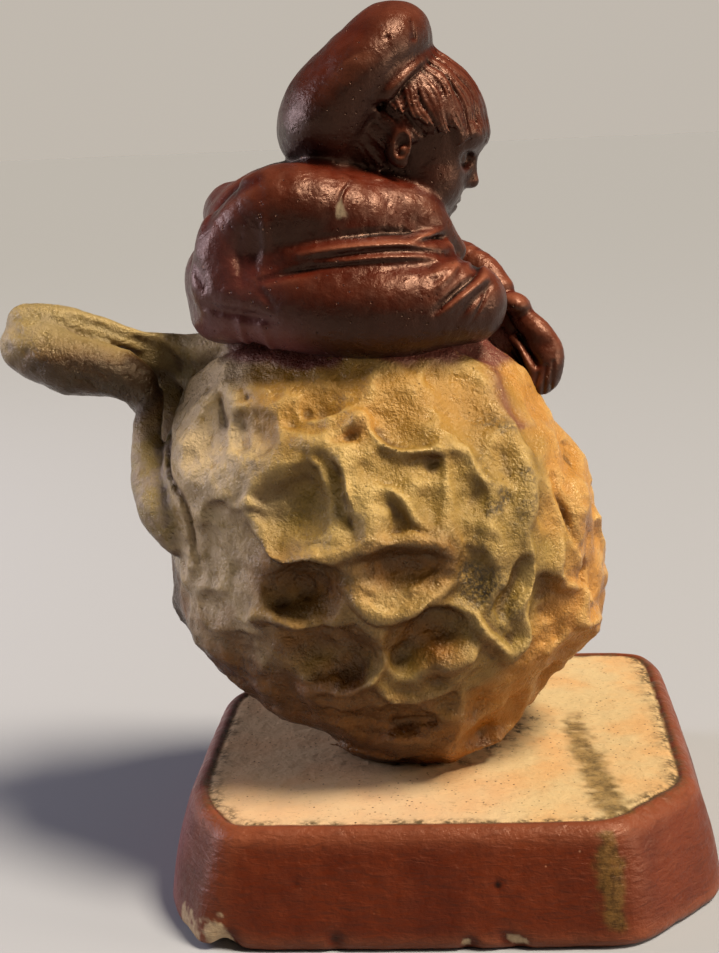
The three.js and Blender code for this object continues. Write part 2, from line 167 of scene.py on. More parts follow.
class Clay:
    """A block of voxels, each holding the distance to the surface in millimetres."""

    def __init__(self, low, high, step):
        self.low = np.array(low, float)
        self.step = step
        self.count = np.ceil((np.array(high) - self.low) / step).astype(int) + 1
        self.field = np.full(self.count, FAR, np.float32)
        self.axes = [(self.low[i] + step * np.arange(self.count[i])).astype(np.float32) for i in range(3)]

    def window(self, low, high):
        """The slices and coordinates of the voxels inside a box, which may be none."""
        first = np.maximum(0, ((np.array(low) - self.low) / self.step).astype(int))
        last = np.minimum(self.count, ((np.array(high) - self.low) / self.step).astype(int) + 2)
        cut = tuple(slice(a, max(a, b)) for a, b in zip(first, last))
        x, y, z = (axis[part] for axis, part in zip(self.axes, cut))
        return cut, x[:, None, None], y[None, :, None], z[None, None, :]

    def join(self, cut, distance, blend, away):
        sign = -1 if away else 1
        self.field[cut] = sign * smooth_min(sign * self.field[cut], distance.astype(np.float32), blend)

    def lump(self, centre, radii, turn=(0, 0, 0), blend=3.0, away=False, only=None):
        """Add an ellipsoid, or take it away; only(x, y, z) limits it to where that is negative."""
        radii = np.array(radii, float)
        spin = turn if isinstance(turn, np.ndarray) else turn_matrix(turn)
        reach = np.abs(spin) @ radii + blend + 2 * self.step
        cut, x, y, z = self.window(np.array(centre) - reach, np.array(centre) + reach)
        x, y, z = x - centre[0], y - centre[1], z - centre[2]
        local = turned(spin, x, y, z)
        near = np.sqrt(sum((local[i] / radii[i]) ** 2 for i in range(3))) + 1e-6
        slope = np.sqrt(sum((local[i] / radii[i] ** 2) ** 2 for i in range(3))) + 1e-6
        distance = near * (near - 1) / slope
        if only is not None:
            distance = np.maximum(distance, only(x + centre[0], y + centre[1], z + centre[2]))
        self.join(cut, distance, blend, away)

    def roll(self, points, radii, blend=2, away=False):
        """Add a bent roll with a radius at each point."""
        line, thick = smooth_line(points, radii)
        reach = thick.max() + blend + 2 * self.step
        cut, *parts = self.window(line.min(0) - reach, line.max(0) + reach)
        distance = np.inf
        for off, radius in near_stretches(parts, points, radii):
            distance = np.minimum(distance, np.sqrt(off) - radius)
        self.join(cut, distance, blend, away)

    def press(self, line, width, depth, y_low=-70.0, y_high=0.0):
        """Press a line of (x, z) points in by depth, seen from the front; less than 0 raises it."""
        flat = np.array(line, float)
        reach = LINE_REACH * np.max(width)
        (x_low, z_low), (x_high, z_high) = flat.min(0) - reach, flat.max(0) + reach
        cut, x, y, z = self.window((x_low, y_low, z_low), (x_high, y_high, z_high))
        fade = np.clip((y_high - y) / LIMIT_FADE, 0, 1) * np.clip((y - y_low) / LIMIT_FADE, 0, 1)
        self.field[cut] += (line_falloff((x, z), line, width, depth) * fade).astype(np.float32)

    def press_all(self, y_low, rows):
        """Press rows of a line, its width, its depth and its limit behind."""
        for line, width, depth, y_high in rows:
            self.press(line, width, depth, y_low, y_high)

    def dent(self, line, width, depth):
        """Press a line of (x, y, z) points in by depth; less than 0 raises it."""
        points = np.array(line, float)
        reach = LINE_REACH * np.max(width)
        cut, *parts = self.window(points.min(0) - reach, points.max(0) + reach)
        self.field[cut] += line_falloff(parts, line, width, depth).astype(np.float32)

    def crumple(self, size, depth, seed):
        """Shape the surface into soft basins about size across, with crests between them."""
        near = np.argwhere(np.abs(self.field) < 4)
        bumps = np.abs(noise(self.low + near * self.step, size, seed)) - CREST_SHARE
        self.field[tuple(near.T)] += (depth * bumps).astype(np.float32)

    def read(self, points):
        """The distance held at each point, read between voxels."""
        place = (points - self.low) / self.step
        place = np.clip(place, 0, self.count - 1.001)
        cell = place.astype(int)
        total = 0
        for corner, weight in corner_weights(place - cell):
            total = total + weight * self.field[tuple(cell[:, i] + corner[i] for i in range(3))]
        return total

    def object(self, name, rough, lowest=FLOOR):
        """The surface as a mesh object in metres; rough lists (size, height, seed) of small lumps."""
        grid = openvdb.FloatGrid(FAR)
        grid.copyFromArray(self.field)
        points, triangles, quads = grid.convertToPolygons(0.0, 0.0)
        mesh = bpy.data.meshes.new(name)
        points = points * self.step + self.low + BASE
        mesh.from_pydata(points * METRES, [], quads.tolist() + triangles.tolist())
        mesh.validate()
        piece = add_object(name, mesh)
        places, normals = mesh_points(mesh)
        for size, height, seed in rough:
            places = places + normals * (noise(places, size, seed) * height)[:, None]
        places[:, 2] = np.maximum(places[:, 2], lowest)
        mesh.vertices.foreach_set("co", ((places + BASE) * METRES).astype(np.float32).ravel())
        triangle_count = 2 * len(quads) + len(triangles)
        if triangle_count > MOST_TRIANGLES:
            thin(piece, MOST_TRIANGLES / triangle_count)
        piece.data.shade_smooth()
        return piece


def add_object(name, data):
    made = bpy.data.objects.new(name, data)
    bpy.context.scene.collection.objects.link(made)
    return made


def mesh_points(mesh):
    """Vertex positions in the sculpting's millimetres, and their normals."""
    places = np.empty(len(mesh.vertices) * 3, np.float32)
    mesh.vertices.foreach_get("co", places)
    normals = np.empty(len(mesh.vertices) * 3, np.float32)
    mesh.vertex_normals.foreach_get("vector", normals)
    return places.reshape(-1, 3) * PER_METRE - BASE, normals.reshape(-1, 3)


def thin(piece, share):
    """Collapse the flattest edges until only share of the triangles is left."""
    piece.modifiers.new("fewer", "DECIMATE").ratio = share
    evaluated = piece.evaluated_get(bpy.context.evaluated_depsgraph_get())
    mesh = bpy.data.meshes.new_from_object(evaluated)
    piece.modifiers.clear()
    old = piece.data
    piece.data = mesh
    bpy.data.meshes.remove(old)
    mesh.name = piece.name


def store(piece, name, values):
    """Keep one number per vertex for the materials to read."""
    layer = piece.data.attributes.new(name, "FLOAT", "POINT")
    layer.data.foreach_set("value", np.clip(values, 0, 1).astype(np.float32))


def store_wear_and_shade(piece, clay, wall_shade=0.4):
    """How hollow and edged each vertex is, and how much painted shade it gets for facing down; the last
    argument is the painted shade of an upright wall.
    """
    places, normals = mesh_points(piece.data)
    here = clay.read(places)
    bend = 0
    for reach in WEAR_REACHES:
        around = sum(clay.read(places + reach * sign * axis) for axis in np.eye(3) for sign in (-1, 1)) / 6
        bend = bend + (around - here) / (SHARP_BEND * reach * len(WEAR_REACHES))
    store(piece, "hollow", -bend)
    store(piece, "edge", bend)
    # Painted shade: darker where the surface faces down, and on walls by the last argument.
    store(piece, "under", wall_shade - normals[:, 2] * UNDERSIDE_SHADE_RISE)
    return places


# The child's head, in its own frame: X forward to the face, Y to its left, Z to the crown.

HEAD = np.array([-2.4, 0, 163.2])
HEAD_TILT = 20.0
HEAD_SPIN = turn_matrix((0, HEAD_TILT, 0))
HEAD_SCALE = 0.93
HAIR_POLE = np.array([-0.72, 0, 0.69])
HAIR_LOCKS = 26
LASH_HEIGHT = -3.4
LIP_UPPER = ((12.7, -3.3, -12.9), (14.5, -1.2, -12.4), (14.5, 1.2, -12.4), (12.7, 3.3, -12.9))
LIP_LOWER = ((12.5, -2.8, -14.2), (14.2, 0, -14.5), (12.5, 2.8, -14.2))
LIP_LINE = ((13.2, -3, -13.4), (15.2, 0, -13.4), (13.2, 3, -13.4))


def in_head(x, y, z):
    return tuple(HEAD + HEAD_SPIN @ (np.array([x, y, z], float) * HEAD_SCALE))


def head_lump(clay, centre, radii, turn=(0, 0, 0), **options):
    spin = HEAD_SPIN @ turn_matrix(turn)
    clay.lump(in_head(*centre), np.array(radii, float) * HEAD_SCALE, turn=spin, **options)


def head_roll(clay, points, radii, **options):
    clay.roll([in_head(*p) for p in points], np.array(radii, float) * HEAD_SCALE, **options)


def head_place(x, y, z):
    """Forward, sideways and up in the head's frame, in millimetres."""
    return turned(HEAD_SPIN, x - HEAD[0], y - HEAD[1], z - HEAD[2])


def make_head(clay):
    # Skull, jaw, chin, cheeks and neck.
    head_lump(clay, (-1.5, 0, 2), (18, 15.2, 17), blend=2)
    head_lump(clay, (5.5, 0, -8), (10.5, 12, 13.5), blend=4)
    head_lump(clay, (10, 0, -18.5), (4, 4.6, 3.6), blend=4)
    for side in (-1, 1):
        head_lump(clay, (8, 6.6 * side, -10.5), (6.4, 6, 6.2), blend=3)
    clay.roll([in_head(-4, 0, -8), (-9.4, 0, 141.8)], (10, 11), blend=3)
    # Nose.
    head_roll(clay, ((14.4, 0, -1.2), (15.6, 0, -4), (17, 0, -7.2)), (1.2, 1.35, 1.75), blend=1.8)
    for side in (-1, 1):
        head_lump(clay, (15.2, 1.75 * side, -7.9), (1.6, 1.15, 1.2), blend=0.9)
        make_eye(clay, side)
    # Lips, closed, with the line between them and the groove above.
    head_roll(clay, LIP_UPPER, (0.5, 1, 1, 0.5), blend=1)
    head_roll(clay, LIP_LOWER, (0.5, 1.25, 0.5), blend=1)
    head_roll(clay, LIP_LINE, (0.25, 0.4, 0.25), blend=0.5, away=True)
    head_lump(clay, (15.4, 0, -10.2), (0.9, 0.7, 1.3), blend=0.8, away=True)


def make_eye(clay, side):
    """A quiet eye: a soft socket, the eyeball, a lowered upper lid and a thin lower one."""
    def above_lash(x, y, z):
        return LASH_HEIGHT - head_place(x, y, z)[2]

    def below_lash(x, y, z):
        return head_place(x, y, z)[2] - LASH_HEIGHT + 1.3

    centre = (10.4, 5.3 * side, -2.9)
    head_lump(clay, (14.4, 5.4 * side, -2.2), (1.9, 3, 2.1), blend=2.6, away=True)
    head_lump(clay, (11.6, 2.7 * side, -2.8), (1.7, 1.3, 2), blend=1.5)
    head_lump(clay, centre, (3.3, 3, 2.5), blend=0.3)
    head_lump(clay, centre, (3.75, 3.5, 2.9), blend=0.3, only=above_lash)
    head_lump(clay, centre, (3.55, 3.3, 2.8), blend=0.4, only=below_lash)
    brow = ((14.5, 2.2 * side, 0.8), (13.7, 5.4 * side, 1.6), (10.8, 9 * side, 0.2))
    head_roll(clay, brow, (1, 1.2, 0.8), blend=2.4)


def make_hair(clay):
    """A cap of hair, short below and longer on top, combed in locks, with a fringe."""
    def behind_face(x, y, z):
        forward, _, up = head_place(x, y, z)
        return np.maximum(0.8 * forward - 0.6 * up - 2.5, -up - 13)

    def above_ears(x, y, z):
        forward, side, up = head_place(x, y, z)
        tufts = 0.9 * np.sin(1.5 * side + 0.15 * forward) + 0.6 * np.sin(2.6 * side + 1.3)
        return 2.6 - up - 0.05 * forward + tufts + 2.2 * np.clip(forward - 11, 0, 4) / 4

    head_lump(clay, (-2.4, 0, 1), (18.2, 16.1, 18.2), blend=0.8, only=behind_face)
    head_lump(clay, (-2, 0, 1.2), (19.3, 16.9, 16.9), blend=1.6, only=above_ears)
    head_lump(clay, (13.2, 0, 3.4), (4.2, 10, 4), blend=2)
    # The locks and hairs fan out from a pole at the back of the crown.
    cut, x, y, z = clay.window(HEAD - 22, HEAD + 22)
    forward, side, up = head_place(x, y, z)
    along = forward * HAIR_POLE[0] + up * HAIR_POLE[2]
    across = forward * HAIR_POLE[2] - up * HAIR_POLE[0]
    turn = np.arctan2(side, across)
    wave = 0.7 * np.sin(along * 0.3 + 4 * turn) + 0.3 * np.sin(along * 0.6 - 9 * turn)
    locks = np.abs(np.sin(turn * HAIR_LOCKS / 2 + wave))
    hairs = np.abs(np.sin(turn * HAIR_LOCKS * 1.7 + 3 * wave))
    patchy = 0.6 + 0.4 * np.sin(5 * turn + 0.5 * along) * np.cos(3.1 * turn - 0.3 * along)
    depth = patchy * (0.75 * (1 - locks) ** 2 + 0.5 * (1 - hairs) ** 2)
    hairy = np.minimum(behind_face(x, y, z), above_ears(x, y, z))
    radius = np.sqrt(forward ** 2 + side ** 2 + up ** 2)
    share = np.clip(0.5 - hairy, 0, 1) * np.clip(radius - 12, 0, 1) * np.clip((15 - along) / 3, 0, 1)
    clay.field[cut] += (depth * share * np.clip(1.3 - forward / 24, 0.5, 1)).astype(np.float32)
    # Ears.
    for side in (-1, 1):
        lean = (0, -8, 22 * side)
        head_lump(clay, (-1.5, 15.6 * side, -4.2), (3.1, 1.6, 4.5), lean, blend=1)
        head_lump(clay, (-0.8, 17.1 * side, -3.8), (1.7, 1.2, 2.8), lean, blend=0.5, away=True)
        head_lump(clay, (-0.2, 16.4 * side, -4.8), (0.9, 0.6, 1.1), blend=0.5)
        head_lump(clay, (0.1, 15.8 * side, -7.3), (1.5, 1.1, 1.5), blend=0.7)


def make_cap(clay):
    clay.lump((-15, 0, 173.2), (21.6, 20.5, 10.6), turn=(0, -45, 0), blend=0.8)
    clay.lump((-19.6, 0, 165.9), (10.6, 18.5, 11.3), blend=5)
    clay.lump((-6.6, 0, 181.4), (8.3, 15, 9), turn=(0, -25, 0), blend=3)
    # A rolled double band runs round the head where the cap meets the hair.
    middle = np.array((-6.7, 0, 171.4))
    for lift, thick in ((0, 1.1), (2, 0.85)):
        raised = np.array([-0.69, 0, 0.72]) * lift
        ring = []
        for angle in 2 * np.pi * np.arange(13) / 12:
            outward = np.array([0.72, 0, 0.69]) * 11.4 * math.cos(angle)
            ring.append(middle + outward + raised + np.array([0, 16 * math.sin(angle), 0]))
        clay.roll(ring, thick, blend=1.3)
    # The band's end is a lumpy fold, with a dark pit behind it.
    clay.roll([(-4.3, -15, 173.7), (-6.9, -15.5, 171.6), (-9.1, -15, 170.2)], (0.9, 1.6, 1), blend=0.9)
    clay.press([(-8.3, 168.8), (-9.1, 168.4)], 0.7, 1.3)
    # Small dents and a nick in the crown.
    clay.press([(-1.7, 186.1), (-1.1, 182.2)], 0.5, (0.15, 0.45))
    clay.press([(-6.5, 182.5)], 0.5, 0.4)


# Rolls of the sleeves and the jacket: points, radii and blend.
FAR_ARM = ([(-24, 14, 144), (-8, 21, 136), (2, 15, 133), (10.6, 8, 131.4), (15.5, 4, 126.6)],
           (11, 9.5, 7.5, 4.6, 3.7), 3)
NEAR_ROLLS = (
    # Shoulder to elbow, and the forearm along the front.
    ([(-3.9, -12, 141.7), (-17.1, -16, 144.6), (-29.9, -17, 146.4), (-39.1, -16, 141.1)],
     (7.5, 10, 11.2, 9.8), 5),
    ([(-40.8, -16, 135.2), (-41, -18, 131.5), (-27, -22, 128.3), (-9.9, -24, 126.6), (2.8, -21, 126.9),
      (8.3, -18, 126.6)], (9, 9.5, 10.5, 10.8, 9.4, 8.8), 5),
    # Collar, and the roll of cloth above the main crease.
    ([(-26.2, -4, 153.7), (-17.2, -12, 150.3), (-6.6, -14, 147.7), (0.5, -12, 142.8), (5, -8, 137.1)],
     (3.4, 4.2, 4.4, 4.2, 3.6), 3),
    ([(-32.8, -24, 137.4), (-21.9, -26, 138.4), (-11.4, -25.5, 138.8), (-2.1, -22, 139), (3.9, -17, 137.5)],
     (1.5, 3.2, 3.6, 3.2, 2), 3.5),
)


def make_jacket(clay):
    clay.lump((-23.8, 0, 137.4), (27, 23, 20), turn=(0, 12, 0), blend=4)
    clay.lump((-27.6, 0, 142.9), (20.3, 22, 11.2), turn=(0, -8, 0), blend=4)
    # Far shoulder and arm, and the ledge of the far sleeve's end.
    clay.lump((-42.9, 9, 145.6), (8.6, 12, 7.7), blend=2)
    clay.roll(*FAR_ARM)
    clay.lump((19.2, 1, 123.7), (3.7, 4.2, 2.5), turn=(0, 22, 0), blend=1)
    for points, radii, blend in NEAR_ROLLS:
        clay.roll(points, radii, blend)
    # The puffed back below the elbow.
    clay.lump((-48.5, 2, 130.4), (6.4, 19, 9.6), turn=(0, -10, 0), blend=2)
    clay.lump((-42.8, -6, 124.2), (10, 18, 6), blend=3)


# Creases of the cloth, and ridges where the depth is below 0: the line, its width, its depth and
# the y that it reaches back to.
NEAR_FOLDS = (
    # The main crease, and two long pinched folds of cloth above it.
    ([(-34.5, 134), (-26.1, 135.6), (-16.4, 136.7), (-5.1, 136.8), (3.9, 135.7)],
     (0.8, 0.8, 0.8, 0.8, 0.7), (0.4, 0.7, 0.3, -0.2, -0.2), -8),
    ([(-22.2, 138.2), (-13.3, 138.8), (-3, 138.7), (4.3, 136.9)], (0.7, 0.8, 0.8, 0.6),
     (0.3, 0.5, 0.4, 0.1), -8),
    ([(-26, 139.1), (-16.4, 140.3), (-5.1, 140.5), (4, 138.5)], 0.8, (-0.2, -0.7, -0.9, -0.3), -8),
    ([(-19.8, 137.2), (-10.2, 138.1), (-1, 137.7), (5.2, 136.3)], 0.8, (-0.2, -0.8, -0.9, -0.2), -8),
    ([(-28, 140.4), (-17.5, 141.9), (-6.1, 142.1), (3.1, 139.9)], 1.3, (0.2, 0.6, 0.7, 0.3), -8),
    ([(-3.6, 140.8), (-0.2, 141.4), (3.6, 142)], 0.8, (-0.1, -0.7, -0.3), -4),
    ([(-2.6, 139.9), (0.6, 140.5), (3.9, 140.7)], 0.7, (0.1, 0.5, 0.1), -4),
    ([(6.2, 135.8), (3.1, 134.6), (-0.2, 133.9)], (0.7, 1, 0.9), (-0.6, -0.7, -0.1), -6),
    ([(6.8, 135.2), (4.3, 133.1), (1.4, 130.9)], (0.7, 1, 0.9), (-0.6, -0.7, -0.1), -6),
    # The cuff: a raised strip with a crease beside it, and a thin crack.
    ([(12.3, 132.4), (7.5, 129.1), (2.9, 125.5)], 0.9, (-0.8, -1.1, -0.3), -4),
    ([(10.6, 132.9), (5.9, 129.8), (1.7, 126.3)], 0.8, (0.6, 1, 0.2), -4),
    ([(13.3, 130.7), (9.4, 127.7), (6.1, 123.8)], 0.8, (0.4, 0.7, 0.2), -4),
    ([(12.9, 130.5), (11.5, 127.2), (8.8, 123)], 0.35, (0.1, 0.6, 0.1), -4),
    ([(10.2, 134.6), (11.1, 134.2)], 0.7, 1, 0),
    # The edge between the near shoulder and the back.
    ([(-32.7, 155.2), (-39.7, 152.3), (-44.8, 147.9), (-47.5, 141.3)], (1.2, 1.3, 1.2, 1.2),
     (0, 1.1, 1, 0.1), 4),
    ([(-49.4, 139.1), (-48, 135), (-45.9, 130.6)], (1.3, 1.4, 1.2), (0.2, 0.9, 0.2), 6),
    ([(-47.4, 128.6), (-40.9, 127.4), (-35.7, 126.5), (-30.4, 125.5)], (1.1, 1.4, 1.4, 1),
     (0.5, 1.3, 1.3, 0.2), 2),
    ([(-39.6, 126), (-39.1, 120.1)], 0.9, (-0.2, -0.7), 2),
    ([(-34.8, 124.7), (-33.3, 119.2)], 0.9, (-0.2, -0.7), 2),
    # The dented elbow, with upright ridges.
    ([(-35.9, 144.8), (-36.6, 139.8), (-37.8, 134.8)], (2.4, 3.4, 2.4), (0.3, 0.9, 0.4), 0),
    ([(-33.2, 148.8), (-33, 142.3), (-34.3, 134.8)], 1, (-0.1, -0.5, -0.2), 0),
    ([(-37.9, 146), (-39.3, 140.2), (-38.6, 133.9)], 0.9, (0.1, 0.5, 0.2), 0),
    ([(-35.2, 132.7), (-33.1, 130.7), (-31.1, 127.5)], 0.9, (0.1, 0.4, 0.1), 0),
    # A crack with a filled patch below it.
    ([(-15.4, 153), (-16.9, 150.8), (-17.9, 146.3)], 0.4, (0.2, 0.5, 0.1), 0),
)


def fold_jacket(clay):
    clay.press_all(-46, NEAR_FOLDS)
    # Far side: the sleeve's folds and the creases of the back.
    clay.press([(-2, 134), (8, 138), (14, 135)], 1.2, (0.2, 1.1, 0.3), 4, 40)
    clay.press([(-34, 150), (-22, 138), (-14, 128)], 1.7, (0.3, 1.6, 0.4), 8, 44)
    clay.press([(-46, 140), (-38, 128), (-24, 122)], 1.5, (0.3, 1.4, 0.3), 4, 44)
    clay.press([(-44, 152), (-36, 142)], 1.6, (0.3, 1), 4, 44)


# The wrist and the back of the hand, and the thumb: points, radii and blend.
HAND_ROLLS = (
    ([(20.5, 1, 121.1), (23.7, -1, 117.2), (26, -2, 112.8), (25.7, -3, 108.6), (23.8, -4, 105.9)],
     (2.6, 3.5, 3.8, 3.3, 2.6), 1),
    ([(19, 0, 115.9), (21.3, -3, 113.7), (22.3, -4, 109.8), (21.1, -4, 106.7)], (1.5, 1.7, 2, 2.2), 0.8),
)


def make_hand(clay):
    """The far hand: the wrist out of the sleeve, the back of the hand, and curled fingers."""
    # Clay left behind the wrist closes the dark recess between the sleeves.
    clay.lump((18.3, 7, 118.8), (4.4, 5, 6.6), blend=1.5)
    clay.lump((20.7, 7, 112.8), (5.2, 6, 8.5), blend=1.5)
    for points, radii, blend in HAND_ROLLS:
        clay.roll(points, radii, blend)
    clay.lump((24.4, -1, 107.9), (4.5, 4.8, 4.8), turn=(0, 30, 0), blend=1.2)
    clay.press_all(-20, (
        ([(27.2, 111.2), (26.6, 105.3)], 0.4, (0.35, 0.55), 4),
        ([(25.6, 110.5), (24.8, 104.6)], 0.4, (0.35, 0.55), 4),
        ([(23.8, 108.7), (22.8, 104.4)], 0.4, (0.35, 0.55), 4),
        ([(20.2, 116.4), (21.7, 113.4), (23.4, 110.8)], 0.8, (0.9, 1.5, 0.7), 4),
        ([(18.6, 113.4), (19.9, 110.8), (21.4, 108.6)], 0.9, (1, 1.5, 0.6), 6),
        ([(22.2, 116.7), (26.1, 115)], 1.6, (0.1, 0.4), 2),
    ))


def make_child_clay():
    clay = Clay((-60, -40, 104), (33, 34, 194), CHILD_STEP)
    make_head(clay)
    make_hair(clay)
    make_jacket(clay)
    make_cap(clay)
    fold_jacket(clay)
    make_hand(clay)
    return clay


# The ball. A place on it is given in degrees: round from the front towards +X, and up.

BALL = np.array([-12.0, -1.0, 72.0])
BALL_REACH = 49.0
THUMB_ROUND = 2.5
HOLLOW_COUNT = 40
GOLDEN_TURN = 137.5


def ball_direction(place):
    around, up = np.radians(place)
    return np.array([np.sin(around) * np.cos(up), -np.cos(around) * np.cos(up), np.sin(up)])


def ball_places(points):
    """Degrees round from the front and up, for each point."""
    away = points - BALL
    around = np.degrees(np.arctan2(away[:, 0], -away[:, 1]))
    up = np.degrees(np.arcsin(away[:, 2] / np.linalg.norm(away, axis=1)))
    return around, up


class BallClay(Clay):
    def aim(self):
        """Remember where each voxel lies on a ball of the mean radius."""
        x, y, z = np.meshgrid(*self.axes, indexing="ij", sparse=True)
        x, y, z = x - BALL[0], y - BALL[1], z - BALL[2]
        scale = BALL_REACH / np.maximum(np.sqrt(x * x + y * y + z * z), 1)
        self.spot = [(part * scale).astype(np.float32) for part in (x, y, z)]

    def stir(self, size, reach, seed):
        """Slide the clay about along the ball by up to reach, so that round dents turn irregular."""
        near = np.argwhere(np.abs(self.field) < 6)
        places = self.low + near * self.step
        push = np.column_stack([noise(places, size, seed + k) for k in range(3)]) * reach
        outward = places - BALL
        outward = outward / np.linalg.norm(outward, axis=1)[:, None]
        push = push - (push * outward).sum(axis=1)[:, None] * outward
        self.field[tuple(near.T)] = self.read(places + push)

    def thumb(self, place, wide, tall, depth, turn=0.0, blend=0.6):
        """A thumb's dent with a crisp edge, wide and tall millimetres half across."""
        outward = ball_direction(place)
        radii = np.arange(36.0, 64.0, 0.1)
        surface = radii[self.read(BALL + outward * radii[:, None]) < 0].max()
        east = np.cross(outward, (0, 0, -1.0))
        east = east / np.linalg.norm(east)
        north = np.cross(east, -outward)
        lean = math.radians(turn)
        across = east * math.cos(lean) + north * math.sin(lean)
        upward = north * math.cos(lean) - east * math.sin(lean)
        spin = np.column_stack([across, upward, outward])
        reach = THUMB_ROUND * depth
        middle = BALL + outward * (surface + reach - depth)
        slice_share = math.sqrt(1 - ((THUMB_ROUND - 1) / THUMB_ROUND) ** 2)
        self.lump(middle, (wide / slice_share, tall / slice_share, reach), turn=spin, blend=blend, away=True)

    def hollow(self, places, width, depth, crisp=False):
        """Press a line of places on the ball in by depth; less than 0 raises it."""
        line = np.array([ball_direction(place) * BALL_REACH for place in places])
        reach = LINE_REACH * np.max(width)
        low = np.minimum(line.min(0) * 0.8, line.min(0) * 1.3) - reach + BALL
        high = np.maximum(line.max(0) * 0.8, line.max(0) * 1.3) + reach + BALL
        cut = self.window(low, high)[0]
        parts = [part[cut] for part in self.spot]
        self.field[cut] += line_falloff(parts, line, width, depth, crisp).astype(np.float32)


def make_ball_clay():
    clay = BallClay((-102, -58, 20), (44, 56, 132), BALL_STEP)
    clay.lump((-12, -1, 74), (49.5, 47.5, 50.5), blend=0.1)
    clay.lump((-31, -1, 88), (31.5, 38, 32), blend=8)
    clay.lump((-43.5, 0, 59.3), (16.2, 30, 18), blend=8)
    clay.lump((24.9, 0, 56.8), (12.6, 26, 17), blend=8)
    clay.lump((-2.1, -14, 35.3), (20, 20, 12), blend=8)
    clay.crumple(15, 2.2, 8)
    clay.aim()
    for row in THUMBS:
        clay.thumb(*row)
    for row in HOLLOWS:
        clay.hollow(*row)
    for line, width, height in CRESTS:
        clay.hollow(line, width, -np.array(height), crisp=True)
    dent_far_side(clay)
    clay.stir(8, 2.6, 20)
    for row in CRUMBS:
        clay.hollow(*row)
    clay.crumple(8, 1.4, 9)
    clay.crumple(3.2, 0.5, 10)
    make_stalk(clay)
    # The pad of clay squeezed out where the ball sits.
    clay.lump((-8, -9, PLINTH_TOP + 1), (16, 13, 4), blend=1.5)
    rim = [(-25.2, -22, 28.2), (-20, -25, 27.9), (-14, -28, 27.5), (-10, -29, 27.4)]
    clay.roll(rim, (0.5, 0.8, 0.7, 0.4), blend=1.4)
    clay.field[:, :, :] = np.maximum(clay.field, PLINTH_TOP - clay.axes[2][None, None, :])
    return clay


# Broad thumb dents, from the top down: place, half sizes, depth, turn, and one soft edge.
THUMBS = (
    ((-14, 46), 6.5, 3.6, 2.6, 12), ((11, 40), 6.5, 11, 2.6, 48, 2), ((34, 44), 8, 12, 2, 10),
    ((-21, 20), 10, 10.5, 4, -15), ((16, 23), 4.5, 8, 2.2, 10), ((37, 29), 6, 11, 2.2, 6),
    ((-19, -1), 10, 7.6, 5.4, -4), ((6, 6), 11.5, 5.6, 4.6, 6), ((6, -1), 10.5, 4.2, 1.8, 6),
    ((-13, -19), 13, 9.5, 5.4, -6), ((13, -15), 9, 7.5, 4.2, 10), ((38, -4), 4, 8, 3, -12),
    ((67, -7), 4.2, 5.6, 4.4, -15), ((60, -27), 9, 12, 2.6, -35), ((46, -44), 13, 7, 2.4, 18),
    ((-13, -43), 15, 5, 2, -14), ((-48, 30), 5.5, 12, 1.6, 12), ((-40, 5), 7, 12, 1.8, -12),
    ((52, 11), 7, 12, 1.8, -5), ((7, 26), 9, 6.5, 1.3, 20), ((9, 16), 8.5, 6.5, 1.5, 8),
    ((25, 20), 5.5, 11, 2.4, -4), ((24, 0), 5.5, 9.5, 2.6, -8), ((-36, 36), 6.5, 6, 2.2, 10),
    ((-21, 40), 6, 5, 1.8, -10), ((-41, -19), 8, 9, 2, -30), ((6, -41), 9, 6, 2.2, 6),
    ((48, -9), 5, 8, 2, 0), ((52, 35), 4.5, 8, 1.6, 14),
)
# Softer hollows: the line, its width and its depth.
HOLLOWS = (
    ([(-7, 6), (-6, -2), (-7, -8)], 2, (0.4, 1.4, 0.6)),
    # The upper right is flatter than a ball.
    ([(64, 44), (72, 34), (80, 24)], 9, (2.4, 2.6, 1.2)),
    ([(98, 50), (101, 38), (103, 26), (104, 16), (104, 8)], 10, (3.4, 5, 5, 3, 0.5)),
    ([(92, 44), (92, 36), (92, 28), (92, 21)], 7, (1, 2, 2.2, 1)),
    ([(-66, -13), (-72, -24)], 9, 0.6),
    # Nicks and pits.
    ([(-12, 36), (-8, 36), (-5, 37)], 1.1, (0.3, 1.8, 0.8)),
    ([(60, 26), (58, 17), (58, 9), (64, 2)], 1.1, (0.2, 1.4, 1.2, 0.2)),
    ([(-57, 42), (-52, 37), (-48, 36)], 1, (0.3, 1.4, 0.4)),
    ([(-50, 47), (-43, 44)], 0.9, (0.3, 1.1)),
    ([(-36, 21)], 1.8, 1.4),
)
